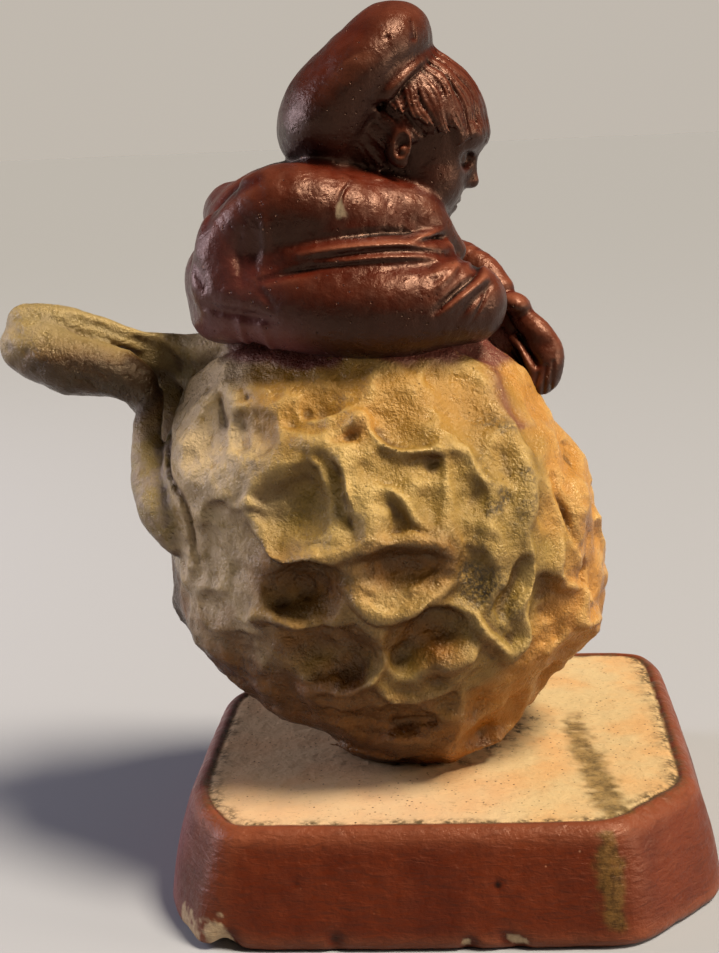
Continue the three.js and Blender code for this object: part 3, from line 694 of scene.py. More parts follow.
# Pinched crests between the dents: the line, its width and its height.
CRESTS = (
    ([(-42, 40), (-20, 37), (-10, 34), (-3, 25), (0, 17), (-2, 11)], 1.5, (0.3, 1.2, 2, 2.5, 2.1, 1)),
    ([(-3, 25), (6, 22), (16, 14)], 1.4, (0.7, 1.8, 0.9)),
    ([(-2, 41), (4, 37), (11, 33), (18, 32), (23, 36)], 1.2, (0.7, 1.5, 1.8, 1.6, 0.5)),
    ([(-33, 13), (-26, 9), (-15, 6), (-7, 9)], 1.3, (0.9, 2.8, 3.5, 2)),
    ([(-5, 10), (3, 12), (12, 13), (19, 9)], 1.3, (1.4, 2.5, 2.5, 0.7)),
    ([(-6, -1), (-1, -6), (9, -5), (19, 0)], 1.5, (1.4, 3.3, 3.3, 0.9)),
    ([(-29, -34), (-10, -30), (-2, -25), (2, -19)], 1.2, (1, 2.3, 2.1, 0.7)),
    ([(-2, -27), (7, -32), (19, -31), (29, -25)], 1.7, (1, 2.1, 2, 0.7)),
    ([(23, -7), (29, -15), (37, -23), (42, -17), (41, -2), (41, 11)], 1.5, (0.7, 2.1, 3.2, 2.8, 1.8, 0.3)),
    ([(54, 4), (53, -4), (66, -16), (80, -18)], 1.4, (0.7, 1.8, 2, 0.7)),
    ([(32, -67), (26, -44), (27, -32)], 1.6, (1.4, 1.6, 0.5)),
    ([(-40, 18), (-34, 21), (-28, 21)], 0.8, (0.3, 1, 0.3)),
    ([(45, 55), (46, 36), (45, 22), (41, 11)], 1.9, (0.2, 1, 1.2, 0.3)),
)
# Knobs and crumbs of clay, and one more nick.
CRUMBS = (
    ([(-7, 39), (-4, 41), (-2, 42)], 1.9, (-1.6, -2.8, -1.6)),
    ([(-10, 36), (-7, 37)], 1.2, (0.8, 1.4)),
    ([(-33, -9), (-31, -4)], 2, (-2.4, -0.8)),
    ([(-28, -8), (-22, -9), (-17, -9)], 2, (-1.6, -3, -1.6)),
    ([(19, -22), (24, -20)], 2.6, -2.2),
)


def dent_far_side(clay):
    for i in range(HOLLOW_COUNT):
        up = np.degrees(np.arcsin(1 - (2 * i + 1) / HOLLOW_COUNT))
        around = (i * GOLDEN_TURN) % 360
        if 72 < around < 282 and abs(up) < 58:
            clay.hollow([(around, up)], 8 + 2 * math.sin(1.7 * i), 2.2 + math.sin(2.3 * i))
            lean = 9 * math.sin(2.9 * i)
            clay.hollow([(around - 9, up - 8 - lean), (around + 8, up - 8 + lean)], 2.4, -1.4)


# Rolls of the stalk: points, radii and blend.
STALK_ROLLS = (
    ([(-52.2, 4, 114.2), (-62.8, 4, 116.4), (-70.4, 2, 118.8), (-77.7, 1, 121.5), (-85.9, 0, 123.5),
      (-91.8, 0, 122.8)], (5, 3.2, 2.8, 3.2, 4, 5.4), 1.5),
    ([(-90.9, -3, 118.6), (-84.2, -5, 115), (-75.2, -5, 113.1), (-67.3, -4, 109.4), (-64, -2, 102.9)],
     (6.8, 7, 6.3, 5.6, 4.4), 1.2),
    ([(-90.5, 3, 119.8), (-78.7, 4, 117.4), (-63.3, 5, 112), (-54, 5, 109.4)], (3, 2.4, 3.4, 5.5), 1.2),
)
HANGING_ROLL = ([(-63.5, -6, 106), (-64.7, -9, 97.8), (-63.2, -15, 89.8), (-59.8, -20, 83.1),
                 (-57, -22, 77.1), (-55.3, -21, 74.3)], (3.2, 3.6, 4.6, 5.7, 3.7, 1.8), 0.5)
GAP = [(-59.6, 106.1), (-58.6, 97.2), (-56.5, 90.8), (-53.5, 87), (-52.3, 82), (-51.9, 76.6), (-50.5, 71.8)]


def make_stalk(clay):
    for points, radii, blend in STALK_ROLLS:
        clay.roll(points, radii, blend)
    # The groove between the rolls, widening to a gap, and the gap beside the hanging roll.
    clay.press([(-82.1, 124.7), (-74.5, 121.5), (-67, 118.3)], (0.8, 0.9, 1), (0.4, 1.3, 1.7), -30, 2)
    clay.press([(-67.4, 118.1), (-63.3, 116), (-58.7, 111.2)], (1.2, 2, 1.6), (1.4, 2.8, 2.4), -30, 5)
    clay.press([(-61.1, 109.4), (-61.8, 103.9), (-61.2, 97.4)], (1.4, 1.3, 1.2), (2, 2.4, 1.6), -60, 12)
    # The hanging roll lies in front of the ball's edge, with a dark line along it.
    clay.roll(*HANGING_ROLL)
    clay.press(GAP, (1, 0.9, 0.9, 0.9, 0.9, 0.9, 0.8), (1.2, 1.4, 1.6, 1.8, 1.8, 1.4, 0.4), -60, 12)
    clay.press([(-79.4, 112.2), (-75.8, 110.9)], 0.5, (0.3, 0.7), -30, 0)
    # Clay behind the gaps leaves them dark.
    clay.lump((-62.2, 7, 112.6), (8, 5, 6), blend=1.5)
    clay.roll([(-52.3, 2, 114.9), (-47.3, 0, 116.2), (-42.8, -2, 116.8)], (4.5, 4.2, 4), blend=1.5)
    clay.lump((-62.2, 9, 102.8), (5, 6, 14), blend=1.5)
    clay.lump((14.3, 6, 114.3), (6, 5, 5), blend=1.5)
    for spot in ((-92.7, 122.2), (-90.2, 117.7), (-86.5, 120.3), (-94.4, 118.8), (-88.2, 114.4)):
        clay.press([spot], 1, 0.7, -30, 4)


# The plinth: eight leaning sides that bulge a little, rounded where they meet.
# Each corner's sides, and how far it is cut back along x and along y.
CORNER_CUTS = ((1, 1, 6, 8.5), (-1, 1, 24.6, 32.4), (-1, -1, 11, 22), (1, -1, 21, 24))
FOOT = np.array([61.6, 62.6])
TOP = np.array([55.3, 56.0])
RIM_WIDTH = 3.6
SIDE_BULGE = 0.5
SIDE_BLEND = 4.0


def plinth_outline():
    """The corners of the foot, with each corner of a rectangle cut back."""
    half_x, half_y = FOOT
    corners = []
    for side_x, side_y, cut_x, cut_y in CORNER_CUTS:
        on_x = (side_x * (half_x - cut_x), side_y * half_y)
        on_y = (side_x * half_x, side_y * (half_y - cut_y))
        corners += [on_y, on_x] if side_x * side_y > 0 else [on_x, on_y]
    return np.array(corners)


def plinth_side_distance(x, y, z):
    """Distance outside the plinth's leaning sides, which are steeper near the foot."""
    raised = np.clip((z - FLOOR) / (PLINTH_TOP - FLOOR), 0, 1.1)
    drawn = raised + SIDE_BULGE * (raised - 1) * raised
    x = x / (1 - (1 - TOP[0] / FOOT[0]) * drawn)
    y = y / (1 - (1 - TOP[1] / FOOT[1]) * drawn)
    outline = plinth_outline()
    whole = None
    for a, b in zip(outline, np.roll(outline, -1, axis=0)):
        length = np.linalg.norm(b - a)
        along = (b - a) / length
        outward = np.array([along[1], -along[0]])
        middle = (a + b) / 2
        across = ((x - middle[0]) * along[0] + (y - middle[1]) * along[1]) * 2 / length
        side = outward[0] * x + outward[1] * y - outward @ a + 0.4 * np.minimum(across ** 2, 1.5)
        whole = side if whole is None else -smooth_min(-whole, -side, SIDE_BLEND)
    return whole


def make_plinth_clay():
    low, high = (-FOOT[0] - 2, -FOOT[1] - 2, FLOOR - 2), (FOOT[0] + 2, FOOT[1] + 2, PLINTH_TOP + 2)
    clay = Clay(low, high, PLINTH_STEP)
    x, y, z = np.meshgrid(*clay.axes, indexing="ij", sparse=True)
    sides = plinth_side_distance(x, y, z)
    slab = -smooth_min(PLINTH_TOP - 0.05 - z, z - FLOOR - 0.05, 0.5)
    clay.field = -smooth_min(-sides, -slab, 3.2).astype(np.float32)
    # The cream panel sits a little lower than the rim, with a groove round it.
    near_top = np.clip((z - PLINTH_TOP + 4) / 2, 0, 1)
    inside = -sides - RIM_WIDTH
    sunk = 0.7 * np.exp(-(inside / 0.7) ** 2) + 0.25 * np.clip(inside, 0, 1)
    clay.field += (near_top * sunk).astype(np.float32)
    for line, width, depth in PLINTH_CHIPS:
        clay.dent(line, width, depth)
    return clay


# Chips and small dents of the plinth: the line, its width and its depth.
PLINTH_CHIPS = (
    ([(-51, -52, -2.2), (-44.8, -60, 0.1)], 2.6, 1.6), ([(47.3, -50, -0.2)], 1.6, 1),
    ([(5.6, -62, -0.2)], 1.5, 1), ([(13.3, -62, 0.7)], 1.5, 1),
    ([(15.9, -62, -0.3)], 1.5, 1), ([(-22.2, -62, 0.7)], 1.5, 1),
    ([(-29.7, -60, 12.8)], 0.9, 0.8), ([(11.7, -60, 11.9)], 0.9, 0.8),
    ([(24.4, -60, 15.5)], 0.9, 0.8), ([(-40.3, -56, 18.4)], 0.9, 0.8),
)


# Where each paint lies, and where shade and light are painted. A mask is a number from 0 to 1 at every
# vertex.

HEM = [(-89, 51), (-86, 48), (-45, 54), (-27, 54), (-11, 57), (1, 59), (15, 56), (28, 56), (48, 56), (57, 52)]
SLEEVE_SPILL = [(58, 53), (50, 42), (53, 34), (57, 31)]
GREY_EDGE = ((-90, -62), (-45, -42), (-20, -31), (10, -31), (32, -38), (50, -55), (90, -70))
MUSTARD = [(-33, 44), (-13, 48), (10, 50), (38, 47)]
STALK_SHADE = [(-85.4, -9, 111.3), (-76.6, -10, 110.3), (-68.3, -9, 108), (-63.9, -9, 111.5)]
GRIME = [(40, 34), (40, 30), (40, 23), (32, 12), (26, 3), (32, -8)]
BROWN = ([(-28, 2), (-13, 0)], [(3, 6), (16, 6)], [(-25, -17), (-7, -17)], [(11, -15), (16, -17)])


def soft_step(value, low, high):
    share = np.clip((value - low) / (high - low), 0, 1)
    return share * share * (3 - 2 * share)


def near_places(points, places, width):
    """1 along a line of places on the ball, fading over the width."""
    away = points - BALL
    spots = away * (BALL_REACH / np.linalg.norm(away, axis=1))[:, None]
    line = np.array([ball_direction(place) * BALL_REACH for place in places])
    return line_falloff(spots.T, line, width, 1)


def paint_ball(piece, clay):
    places = store_wear_and_shade(piece, clay, 0.25)
    x, _, z = places.T
    around, up = ball_places(places)
    wobble = noise(places, 9, 11) + 0.5 * noise(places, 4, 12)
    on_stalk = soft_step(-56 - x - 4 * wobble, -2, 4)
    # Grey towards the stalk, with an edge that runs down the ball.
    edge_up, edge_around = np.array(GREY_EDGE).T
    grey = soft_step(np.interp(up, edge_up, edge_around) - around + 7 * wobble, -12, 10)
    behind = soft_step(np.abs(around), 120, 150) * soft_step(wobble, 0, 0.9) * 0.6
    grey = grey * soft_step(around + 12 * wobble + 150, -10, 25)
    store(piece, "grey", np.maximum(grey, behind))
    # Orange on the right, and umber underneath, darker towards the bottom; dark brown in the deepest dents,
    # and painted shade along the stalk's underside.
    right = soft_step(around + 7 * wobble - 0.8 * np.clip(up + 10, -45, 0), 44, 62)
    right = right * soft_step(150 - around, 0, 30)
    right = np.maximum(right, 0.9 * near_places(places, [(-6, 39), (-2, 42)], 2.6))
    store(piece, "orange", right * (1 - on_stalk))
    umber = soft_step(-30 - up + 9 * wobble - 0.3 * around, -8, 10)
    # Painted shade: dark brown along the stalk's underside.
    umber = np.maximum(umber, 2.2 * line_falloff(places.T, STALK_SHADE, 6, 1))
    brown_and_painted_shade = sum(near_places(places, line, 7) for line in BROWN)
    store(piece, "brown_and_painted_shade", np.maximum(0.95 * brown_and_painted_shade, umber))
    patchy = soft_step(np.abs(around), 80, 110) * soft_step(-wobble, 0, 0.7)
    store(piece, "mustard", near_places(places, MUSTARD, 13) + patchy + on_stalk * 0.5)
    grime_and_painted_shade = near_places(places, GRIME, 6.5) + 0.5 * near_places(places, [(-34, 34), (-23, 17)], 6)
    # Painted shade along the stalk's underside, darkened like the grime.
    grime_and_painted_shade = grime_and_painted_shade + 0.7 * line_falloff(places.T, STALK_SHADE, 5, 1)
    ragged = noise(places, 3.2, 14) + 0.5 * noise(places, 1.5, 15)
    store(piece, "grime_and_painted_shade", np.minimum(grime_and_painted_shade, 1) * soft_step(ragged, -0.25, 0.55))
    # The child's paint runs down onto the ball below the hem and the hand.
    hem = np.interp(around, *np.array(HEM).T)
    far = soft_step(np.abs(around), 75, 100)
    hem = hem * (1 - far) + far * (56 + 3 * np.sin(np.radians(3 * around)))
    spill = soft_step(up - hem + 1.5 * wobble, -1.2, 1.6)
    spill = np.maximum(spill, near_places(places, SLEEVE_SPILL, 2.6) * 0.8)
    store(piece, "spill", spill * (1 - on_stalk) * (z > 100))
    store(piece, "stalk", on_stalk)
    tip = soft_step(-84 - x + 3 * wobble, -3, 5) * soft_step(112 - z, -40, 40)
    low_end = soft_step(104 - z + 3 * wobble, -3, 4)
    store(piece, "tip", on_stalk * np.maximum(tip, low_end))


PATCH = [(-15.4, -20, 152.4), (-17.2, -24, 149.8), (-17.7, -27, 146.7)]
CHILD_HEM = [(-47.2, -16, 122.7), (-38.7, -24, 122.3), (-30.4, -27, 120.3)]
PATCH_SPOT = [(-15.8, -27, 147.2), (-14.3, -27, 146.9)]


def paint_child(piece, clay):
    # Painted shade: walls get nearly the whole dark coat, so the child's front is painted near black.
    places = store_wear_and_shade(piece, clay, 0.95)
    rough = 0.6 * noise(places, 1.6, 21) + 0.4 * noise(places, 0.8, 22)
    patch = line_falloff(places.T, PATCH, 1, 0.9) + line_falloff(places.T, PATCH_SPOT, 1.5, 1)
    store(piece, "bare", soft_step(patch + 0.35 * rough, 0.45, 0.75))
    x, _, z = places.T
    # Painted cool light: a violet sheen down the left side; violet paint along the hem.
    left = soft_step(-34 - x - 0.4 * (z - 140) + 3 * noise(places, 7, 23), -8, 12)
    hem = line_falloff(places.T, CHILD_HEM, 7, 0.9)
    store(piece, "violet_and_painted_cool_light", np.maximum(0.4 * left, hem))


STAIN_TOP = ((30.5, 9), (32.7, -18), (36.4, -47))
STAIN_FRONT = ((34.2, 20), (35.0, 12), (35.3, 4))
BALL_FOOT_SHADE = ((-22, -16), (0, -21), (18, -3), (20, 6))
FOOT_CHIPS = (
    (5.6, (-51.5, -51, 0), (-46, -57, 2)), (1.8, (48.6, -47, 3), (50, -45, 5)),
    (1.8, (3, -60, 0), (7, -60, 1)), (1.8, (14, -60, 1), (22, -60, 0)),
)


def paint_plinth(piece, clay):
    places = store_wear_and_shade(piece, clay)
    x, y, z = places.T
    inside = -plinth_side_distance(x, y, z) - RIM_WIDTH
    inside = inside + 0.35 * noise(places, 5, 31) + 0.25 * noise(places, 1.6, 32)
    top = soft_step(z, PLINTH_TOP - 1.6, PLINTH_TOP - 0.9)
    store(piece, "cream", soft_step(inside, -0.2, 0.45) * top)
    ragged = noise(places, 2.2, 33) + 0.6 * noise(places, 1, 34)
    wide = 1.4 + 1.2 * soft_step(np.abs(x), 36, 46)
    store(piece, "seam", np.exp(-((inside - 0.5) / wide) ** 2) * top * soft_step(ragged, -0.7, 0.6))
    stain = line_falloff((x, y), STAIN_TOP, (3.2, 4.4, 5), (0.7, 1, 1)) * top
    streak = line_falloff((x, z), STAIN_FRONT, (3, 3.4, 3), 1) * (y < -50) * (1 - top)
    store(piece, "stain", soft_step(np.maximum(stain, streak) + 0.32 * ragged, 0.3, 0.9))
    # Painted shadow of the ball: a greyer tone over the left of the cream top.
    ball_shadow = soft_step(-6 - 0.9 * x - 0.35 * y + 8 * noise(places, 12, 35), -16, 18) * top
    store(piece, "painted_ball_shadow", ball_shadow)
    # Painted cool light: violet on the sides at the left corner.
    store(piece, "violet_and_painted_cool_light", 0.75 * soft_step(-44 - x + 0.25 * y + 3 * noise(places, 8, 36), -5, 6))
    bare = sum(line_falloff((x, y, z), chip, wide, 1) for wide, *chip in FOOT_CHIPS)
    store(piece, "bare", soft_step(bare + 0.15 * ragged, 0.42, 0.5))
    # Painted shade: dark patches on the top round the front and right of the ball's foot.
    foot_shade = line_falloff((x, y), BALL_FOOT_SHADE, (4, 4, 5, 5), 1) * top
    store(piece, "grime_and_painted_shade", foot_shade * soft_step(ragged, -0.2, 0.8))


# Materials, each a graph of noise and masks on one glossy shader.
# The mix node's colour sockets, which share their names with others.
COLOUR_UNDER, COLOUR_OVER, COLOUR_RESULT = 6, 7, 2


class Graph:
    """A tree of shader nodes, built by short calls."""

    def __init__(self, tree):
        self.tree = tree

    def node(self, kind, inputs=(), **settings):
        """A node with its settings, and with values fed to its inputs."""
        made = self.tree.nodes.new(kind)
        for name, value in settings.items():
            setattr(made, name, value)
        for name, value in dict(inputs).items():
            self.feed(made.inputs[name], value)
        return made

    def feed(self, socket, value):
        """Link an output or the mask of that name, or set a colour or a plain value."""
        if isinstance(value, str):
            value = self.node("ShaderNodeAttribute", attribute_name=value).outputs["Fac"]
        if isinstance(value, bpy.types.NodeSocket):
            self.tree.links.new(value, socket)
        else:
            socket.default_value = colour(value) if isinstance(value, tuple) else value


class Paint(Graph):
    """A material painted coat over coat; a share is an output, a number or a mask's name."""

    def __init__(self, name, specular, tint):
        self.material = bpy.data.materials.new(name)
        self.material.use_nodes = True
        super().__init__(self.material.node_tree)
        self.shader = self.tree.nodes["Principled BSDF"].inputs
        self.feed(self.shader["Specular IOR Level"], specular)
        self.feed(self.shader["Specular Tint"], tint)
        self.place = self.node("ShaderNodeTexCoord").outputs["Object"]
        self.bump = None

    def grain(self, size, detail=3.0, rough=0.55, stretch=(1, 1, 1), warp=0.0):
        """Noise from 0 to 1 in lumps of about size millimetres, drawn out by stretch."""
        mapped = self.node("ShaderNodeMapping", {"Scale": [1 / s for s in stretch], "Vector": self.place})
        inputs = {"Scale": PER_METRE / size, "Detail": detail, "Roughness": rough, "Distortion": warp}
        inputs["Vector"] = mapped.outputs["Vector"]
        return self.node("ShaderNodeTexNoise", inputs).outputs["Fac"]

    def specks(self, size, reach):
        """1 at the middle of scattered dots, 0 between them."""
        made = self.node("ShaderNodeTexVoronoi", {"Scale": PER_METRE / size, "Vector": self.place})
        return self.span(made.outputs["Distance"], reach, reach * 0.5)

    def span(self, value, low, high, to_low=0.0, to_high=1.0):
        """Stretch the values from low to high smoothly over to_low to to_high."""
        inputs = {"Value": value, "From Min": low, "From Max": high, "To Min": to_low, "To Max": to_high}
        return self.node("ShaderNodeMapRange", inputs, interpolation_type="SMOOTHSTEP").outputs["Result"]

    def patches(self, size, low, high):
        """Soft patches of about size millimetres."""
        return self.span(self.grain(size), low, high)

    def both(self, a, b):
        """The product of two shares."""
        made = self.node("ShaderNodeMath", {0: a, 1: b}, operation="MULTIPLY", use_clamp=True)
        return made.outputs["Value"]

    def mix(self, share, under, over):
        """Colour under covered by colour over to the given share."""
        inputs = {"Factor": share, COLOUR_UNDER: under, COLOUR_OVER: over}
        return self.node("ShaderNodeMix", inputs, data_type="RGBA").outputs[COLOUR_RESULT]

    def level(self, share, low, high):
        """A number between low and high."""
        inputs = {"Factor": share, "A": low, "B": high}
        return self.node("ShaderNodeMix", inputs, data_type="FLOAT").outputs["Result"]

    def coat(self, share, over, strength=None):
        """Cover the paint so far by colour over, where share and strength are high."""
        if strength is not None:
            share = self.both(share, strength)
        self.base = self.mix(share, self.base, over)

    def rise(self, height, depth):
        """Add bump of the given depth in millimetres."""
        made = self.node("ShaderNodeBump", {"Distance": depth / PER_METRE, "Height": height})
        if self.bump is not None:
            self.feed(made.inputs["Normal"], self.bump)
        self.bump = made.outputs["Normal"]

    def done(self, rough):
        self.feed(self.shader["Base Color"], self.base)
        self.feed(self.shader["Roughness"], rough)
        self.feed(self.shader["Normal"], self.bump)
        return self.material


def colour(levels):
    """Linear colour from the 0 to 255 levels of a paint chart."""
    return [(v / 255 / 12.92) if v < 10.3 else ((v / 255 + 0.055) / 1.055) ** 2.4 for v in levels] + [1.0]


def red_brown(paint, dark, light, rubbed, underside_shade_share):
    """The brushed red-brown paint of the child and the plinth's sides, with painted shade where it faces down
    and on walls, and dirt and painted shade in hollows.
    """
    paint.base = paint.mix(paint.patches(11, 0.3, 0.7), dark, light)
    paint.coat("edge", rubbed, 0.6)
    # Painted shade: near black where the surface faces down, and on walls.
    paint.coat("under", (22, 6, 5), underside_shade_share)
    # Darker in hollows: dirt and painted shade.
    paint.coat(paint.span("hollow", 0.15, 0.8), (20, 5, 4))


def child_paint():
    paint = Paint("child_paint", 0.5, (255, 200, 172))
    fine = paint.grain(0.9, 4)
    # The painted shade under and on walls is at full strength on the child.
    red_brown(paint, (68, 20, 9), (90, 32, 17), (164, 98, 72), 0.95)
    # Violet: painted cool light on the left side, and paint at the hem.
    paint.coat("violet_and_painted_cool_light", (98, 56, 56))
    paint.coat(paint.span(fine, 0.62, 0.75), (70, 32, 26), 0.35)
    nicks = paint.both(paint.specks(3.6, 0.1), paint.patches(5, 0.54, 0.64))
    paint.coat(nicks, (170, 124, 96), 0.5)
    paint.coat("bare", paint.mix(fine, (90, 76, 60), (140, 124, 102)))
    paint.rise(paint.grain(3.5, 2), 0.35)
    paint.rise(fine, 0.14)
    paint.rise(paint.grain(0.35, 2), 0.05)
    paint.rise(paint.specks(2.3, 0.14), -0.25)
    rough = paint.span(paint.grain(2.2, 4), 0.3, 0.75, 0.26, 0.46)
    return paint.done(paint.level("bare", rough, 0.9))


def ball_paint():
    paint = Paint("ball_paint", 0.8, (255, 232, 196))
    middle = paint.grain(3.2, 4)
    fine = paint.grain(0.8, 4, 0.65)
    paint.base = paint.mix(paint.patches(11, 0.35, 0.65), (132, 107, 47), (152, 123, 60))
    paint.coat("mustard", (166, 120, 48), 0.85)
    paint.coat("orange", (184, 128, 56), 0.9)
    paint.coat("grey", (196, 172, 136), paint.span(middle, 0.2, 0.5))
    paint.coat("stalk", (132, 114, 66), 0.8)
    paint.coat("tip", (150, 132, 116), paint.span(middle, 0.42, 0.6))
    paint.coat("edge", (220, 188, 122), 0.45)
    # Dark brown in the deepest dents and towards the bottom, and painted shade under the stalk.
    paint.coat("brown_and_painted_shade", paint.mix(paint.span(middle, 0.35, 0.65), (92, 48, 6), (134, 82, 20)))
    # Darker in hollows: dirt and painted shade.
    paint.coat(paint.span("hollow", 0.45, 1, 0, 0.65), (70, 42, 14))
    # Painted shade where the surface faces down, and a little on walls.
    paint.coat("under", (62, 32, 6), 0.95)
    # Painted shade: darker still along the stalk's underside.
    paint.coat("stalk", (50, 26, 8), "brown_and_painted_shade")
    # Painted light: golden where the orange side faces down, as if lit from below.
    paint.coat(paint.both("orange", "under"), (150, 92, 22), 0.8)
    paint.coat(paint.span(fine, 0.58, 0.75), (74, 54, 30), 0.5)
    # Grime, and painted shade along the stalk's underside.
    paint.coat("grime_and_painted_shade", (38, 30, 22), paint.span(fine, 0.35, 0.6))
    pits = paint.both(paint.specks(2.2, 0.12), paint.patches(6, 0.5, 0.64))
    paint.coat(pits, (60, 46, 30), 0.6)
    paint.coat("spill", (112, 62, 54), paint.span(middle, 0.1, 0.4))
    paint.rise(middle, 0.6)
    paint.rise(paint.grain(1.5, 5), 0.42)
    paint.rise(fine, 0.3)
    paint.rise(paint.grain(0.35, 2), 0.12)
    paint.rise(pits, -0.3)
    return paint.done(paint.span(middle, 0.3, 0.7, 0.22, 0.46))


def plinth_paint():
    paint = Paint("plinth_paint", 0.35, (255, 214, 190))
    fine = paint.grain(0.9, 4)
    strokes = paint.grain(1.3, 4, stretch=(3.5, 3.5, 1), warp=0.4)
    # The painted shade under the plinth's sides is faint.
    red_brown(paint, (82, 28, 11), (98, 38, 16), (172, 104, 74), 0.3)
    # Violet painted cool light on the left corner.
    paint.coat("violet_and_painted_cool_light", (146, 92, 92))
    paint.coat(paint.span(strokes, 0.5, 0.72), (66, 24, 12), 0.3)
    nicks = paint.both(paint.specks(4.3, 0.07), paint.patches(6, 0.5, 0.6))
    paint.coat(nicks, (196, 140, 108), 0.6)
    sides = paint.base
    paint.base = paint.mix(paint.patches(14, 0.35, 0.7), (202, 178, 134), (205, 164, 114))
    # Painted shadow of the ball on the cream top.
    paint.coat("painted_ball_shadow", (206, 172, 142), 0.5)
    paint.coat(paint.span(fine, 0.6, 0.72), (110, 92, 62), 0.45)
    scratches = paint.grain(0.9, 5, stretch=(3, 1, 1), warp=0.6)
    paint.coat(paint.span(scratches, 0.62, 0.72), (120, 96, 70), 0.3)
    flecks = paint.both(paint.specks(1.6, 0.18), paint.patches(7, 0.44, 0.56))
    paint.coat(flecks, (60, 46, 30))
    # Painted shade round the ball's foot.
    paint.coat("grime_and_painted_shade", (50, 44, 28), paint.span(fine, 0.35, 0.55))
    paint.base = paint.mix("cream", sides, paint.base)
    paint.coat("seam", (84, 70, 48), paint.span(fine, 0.3, 0.6))
    spots = paint.span(paint.grain(2.6, 8, 0.75), 0.38, 0.66)
    on_sides = paint.mix(spots, (108, 80, 40), (42, 30, 12))
    on_top = paint.mix(spots, (146, 120, 74), (76, 60, 32))
    paint.coat("stain", paint.mix("cream", on_sides, on_top), 0.9)
    paint.coat("bare", paint.mix(fine, (150, 120, 92), (206, 184, 150)))
    paint.rise(strokes, 0.4)
    paint.rise(fine, 0.16)
    paint.rise(paint.grain(5, 2), 0.4)
    rough = paint.span(paint.grain(2.5, 4), 0.3, 0.75, 0.34, 0.55)
    return paint.done(paint.level("bare", paint.level("cream", rough, 0.62), 0.9))


def dress(piece, material, slot, *nodes):
    """Give a piece its material and its place in the frame."""
    piece.data.materials.clear()
    piece.data.materials.append(material)
    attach(piece, "root")
    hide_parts(*nodes)


def make_figurine():
    clay = make_child_clay()
    child = clay.object("child", ((7, 0.18, 1), (2.4, 0.09, 2)))
    paint_child(child, clay)
    dress(child, child_paint(), "red_brown_paint", "child_on_ball")
    clay = make_ball_clay()
    ball = clay.object("lumpy_ball", ((9, 0.55, 3), (4, 0.3, 4), (1.8, 0.12, 5)), PLINTH_TOP + 0.2)
    paint_ball(ball, clay)
    dress(ball, ball_paint(), "ochre_paint", "child_on_ball")
    clay = make_plinth_clay()
    plinth = clay.object("plinth_block", ((16, 0.25, 6), (4, 0.1, 7)))
    paint_plinth(plinth, clay)
    dress(plinth, plinth_paint(), "red_brown_paint", "plinth")


# The stage: a pale floor, warm lights high and low on the right, a cool one low on the left.

CAMERA_AT = (0.01064, -0.38265, 0.17225)
CAMERA_YAW, CAMERA_PITCH, CAMERA_ROLL = 4.211, 12.517, -2.461
FOCAL_PIXELS = 1700.0
PHOTO_HEIGHT = 953.0
SENSOR = 36.0
# Where the lamps point, and the floor's colour as shares of light.
MIDDLE = (0, 0, 0.09)
FLOOR_COLOUR = (0.39, 0.405, 0.445, 1)


def make_floor():
    mesh = bpy.data.meshes.new("floor")
    corners = ((-6, -6, 0), (6, -6, 0), (6, 6, 0), (-6, 6, 0))
    mesh.from_pydata(corners, [], [(0, 1, 2, 3)])
    paint = Paint("floor_white", 0.1, (255, 255, 255))
    paint.shader["Base Color"].default_value = FLOOR_COLOUR
    paint.shader["Roughness"].default_value = 0.9
    mesh.materials.append(paint.material)
    floor = add_object("floor", mesh)


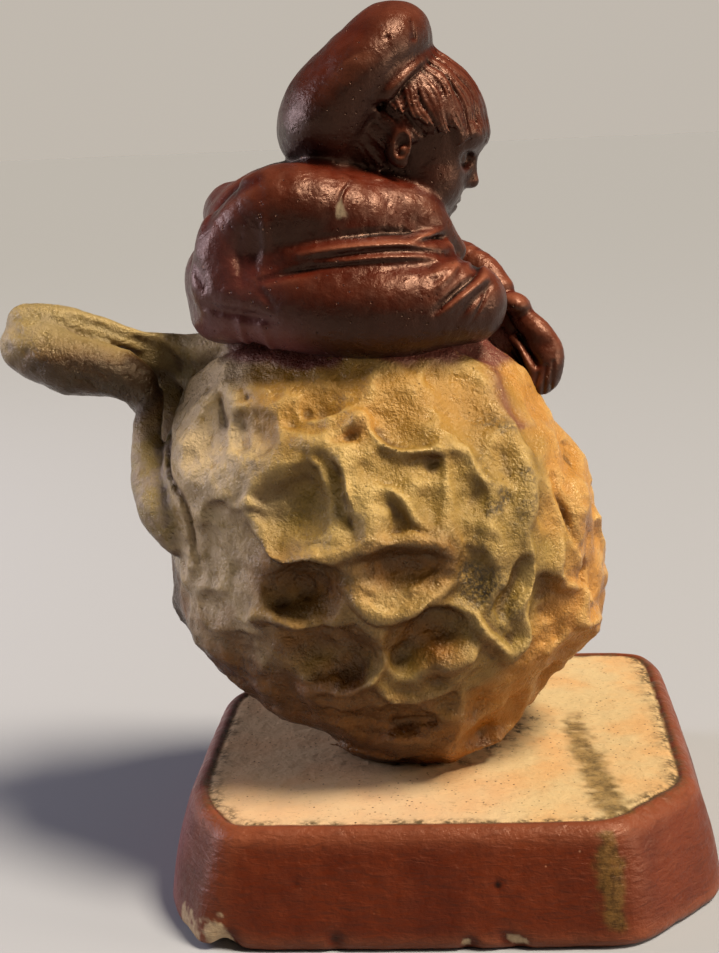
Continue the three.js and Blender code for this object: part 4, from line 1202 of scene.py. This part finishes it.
def make_light(name, kind, place, power, tint, width):
    """A lamp at place, aimed at the middle of the figurine."""
    light = bpy.data.lights.new(name, kind)
    light.energy = power
    light.color = tint
    setattr(light, "angle" if kind == "SUN" else "size", width)
    lamp = add_object(name, light)
    lamp.location = place
    lamp.rotation_mode = "QUATERNION"
    lamp.rotation_quaternion = (Vector(place) - Vector(MIDDLE)).to_track_quat("Z", "Y")


# How bright the surroundings are along the horizon behind and in front, and overhead.
BACK_GLOW, FRONT_GLOW, SKY_GLOW = 0.53, 0.08, 0.05
SURROUNDINGS = (1, 0.91, 0.80, 1)


def make_lights():
    make_light("key", "SUN", (0.50, -0.20, 1.0), 4.7, (1.0, 0.88, 0.70), 0.3)
    make_light("warm", "AREA", (0.85, -0.20, 0.28), 3.2, (1.0, 0.82, 0.64), 0.3)
    make_light("cool", "AREA", (-0.80, 0.14, 0.34), 3.6, (0.88, 0.84, 1.0), 0.4)
    world = bpy.data.worlds.new("studio")
    world.use_nodes = True
    # Bright along the horizon behind, so that the floor has no end, and dim above and in front.
    graph = Graph(world.node_tree)
    direction = graph.node("ShaderNodeTexCoord").outputs["Generated"]
    parts = graph.node("ShaderNodeSeparateXYZ", {"Vector": direction}).outputs
    glow = FRONT_GLOW
    for axis, near, far, to_glow in (("Y", -0.3, 0.6, BACK_GLOW), ("Z", 0.08, 0.3, SKY_GLOW)):
        inputs = {"Value": parts[axis], "From Min": near, "From Max": far, "To Min": glow, "To Max": to_glow}
        glow = graph.node("ShaderNodeMapRange", inputs).outputs["Result"]
    background = world.node_tree.nodes["Background"].inputs
    graph.feed(background["Strength"], glow)
    background["Color"].default_value = SURROUNDINGS
    bpy.context.scene.world = world
    bpy.context.scene.view_settings.view_transform = "Standard"


def make_camera():
    lens = bpy.data.cameras.new("view")
    lens.sensor_fit = "VERTICAL"
    lens.sensor_height = SENSOR
    lens.lens = FOCAL_PIXELS / PHOTO_HEIGHT * SENSOR
    camera = add_object("view", lens)
    turns = ((CAMERA_YAW, "Z"), (90 - CAMERA_PITCH, "X"), (CAMERA_ROLL, "Z"))
    yaw, pitch, roll = (Matrix.Rotation(math.radians(angle), 4, axis) for angle, axis in turns)
    camera.matrix_world = Matrix.Translation(CAMERA_AT) @ yaw @ pitch @ roll
    bpy.context.scene.camera = camera


make_figurine()
make_floor()
make_lights()
make_camera()

bpy.context.view_layer.update()
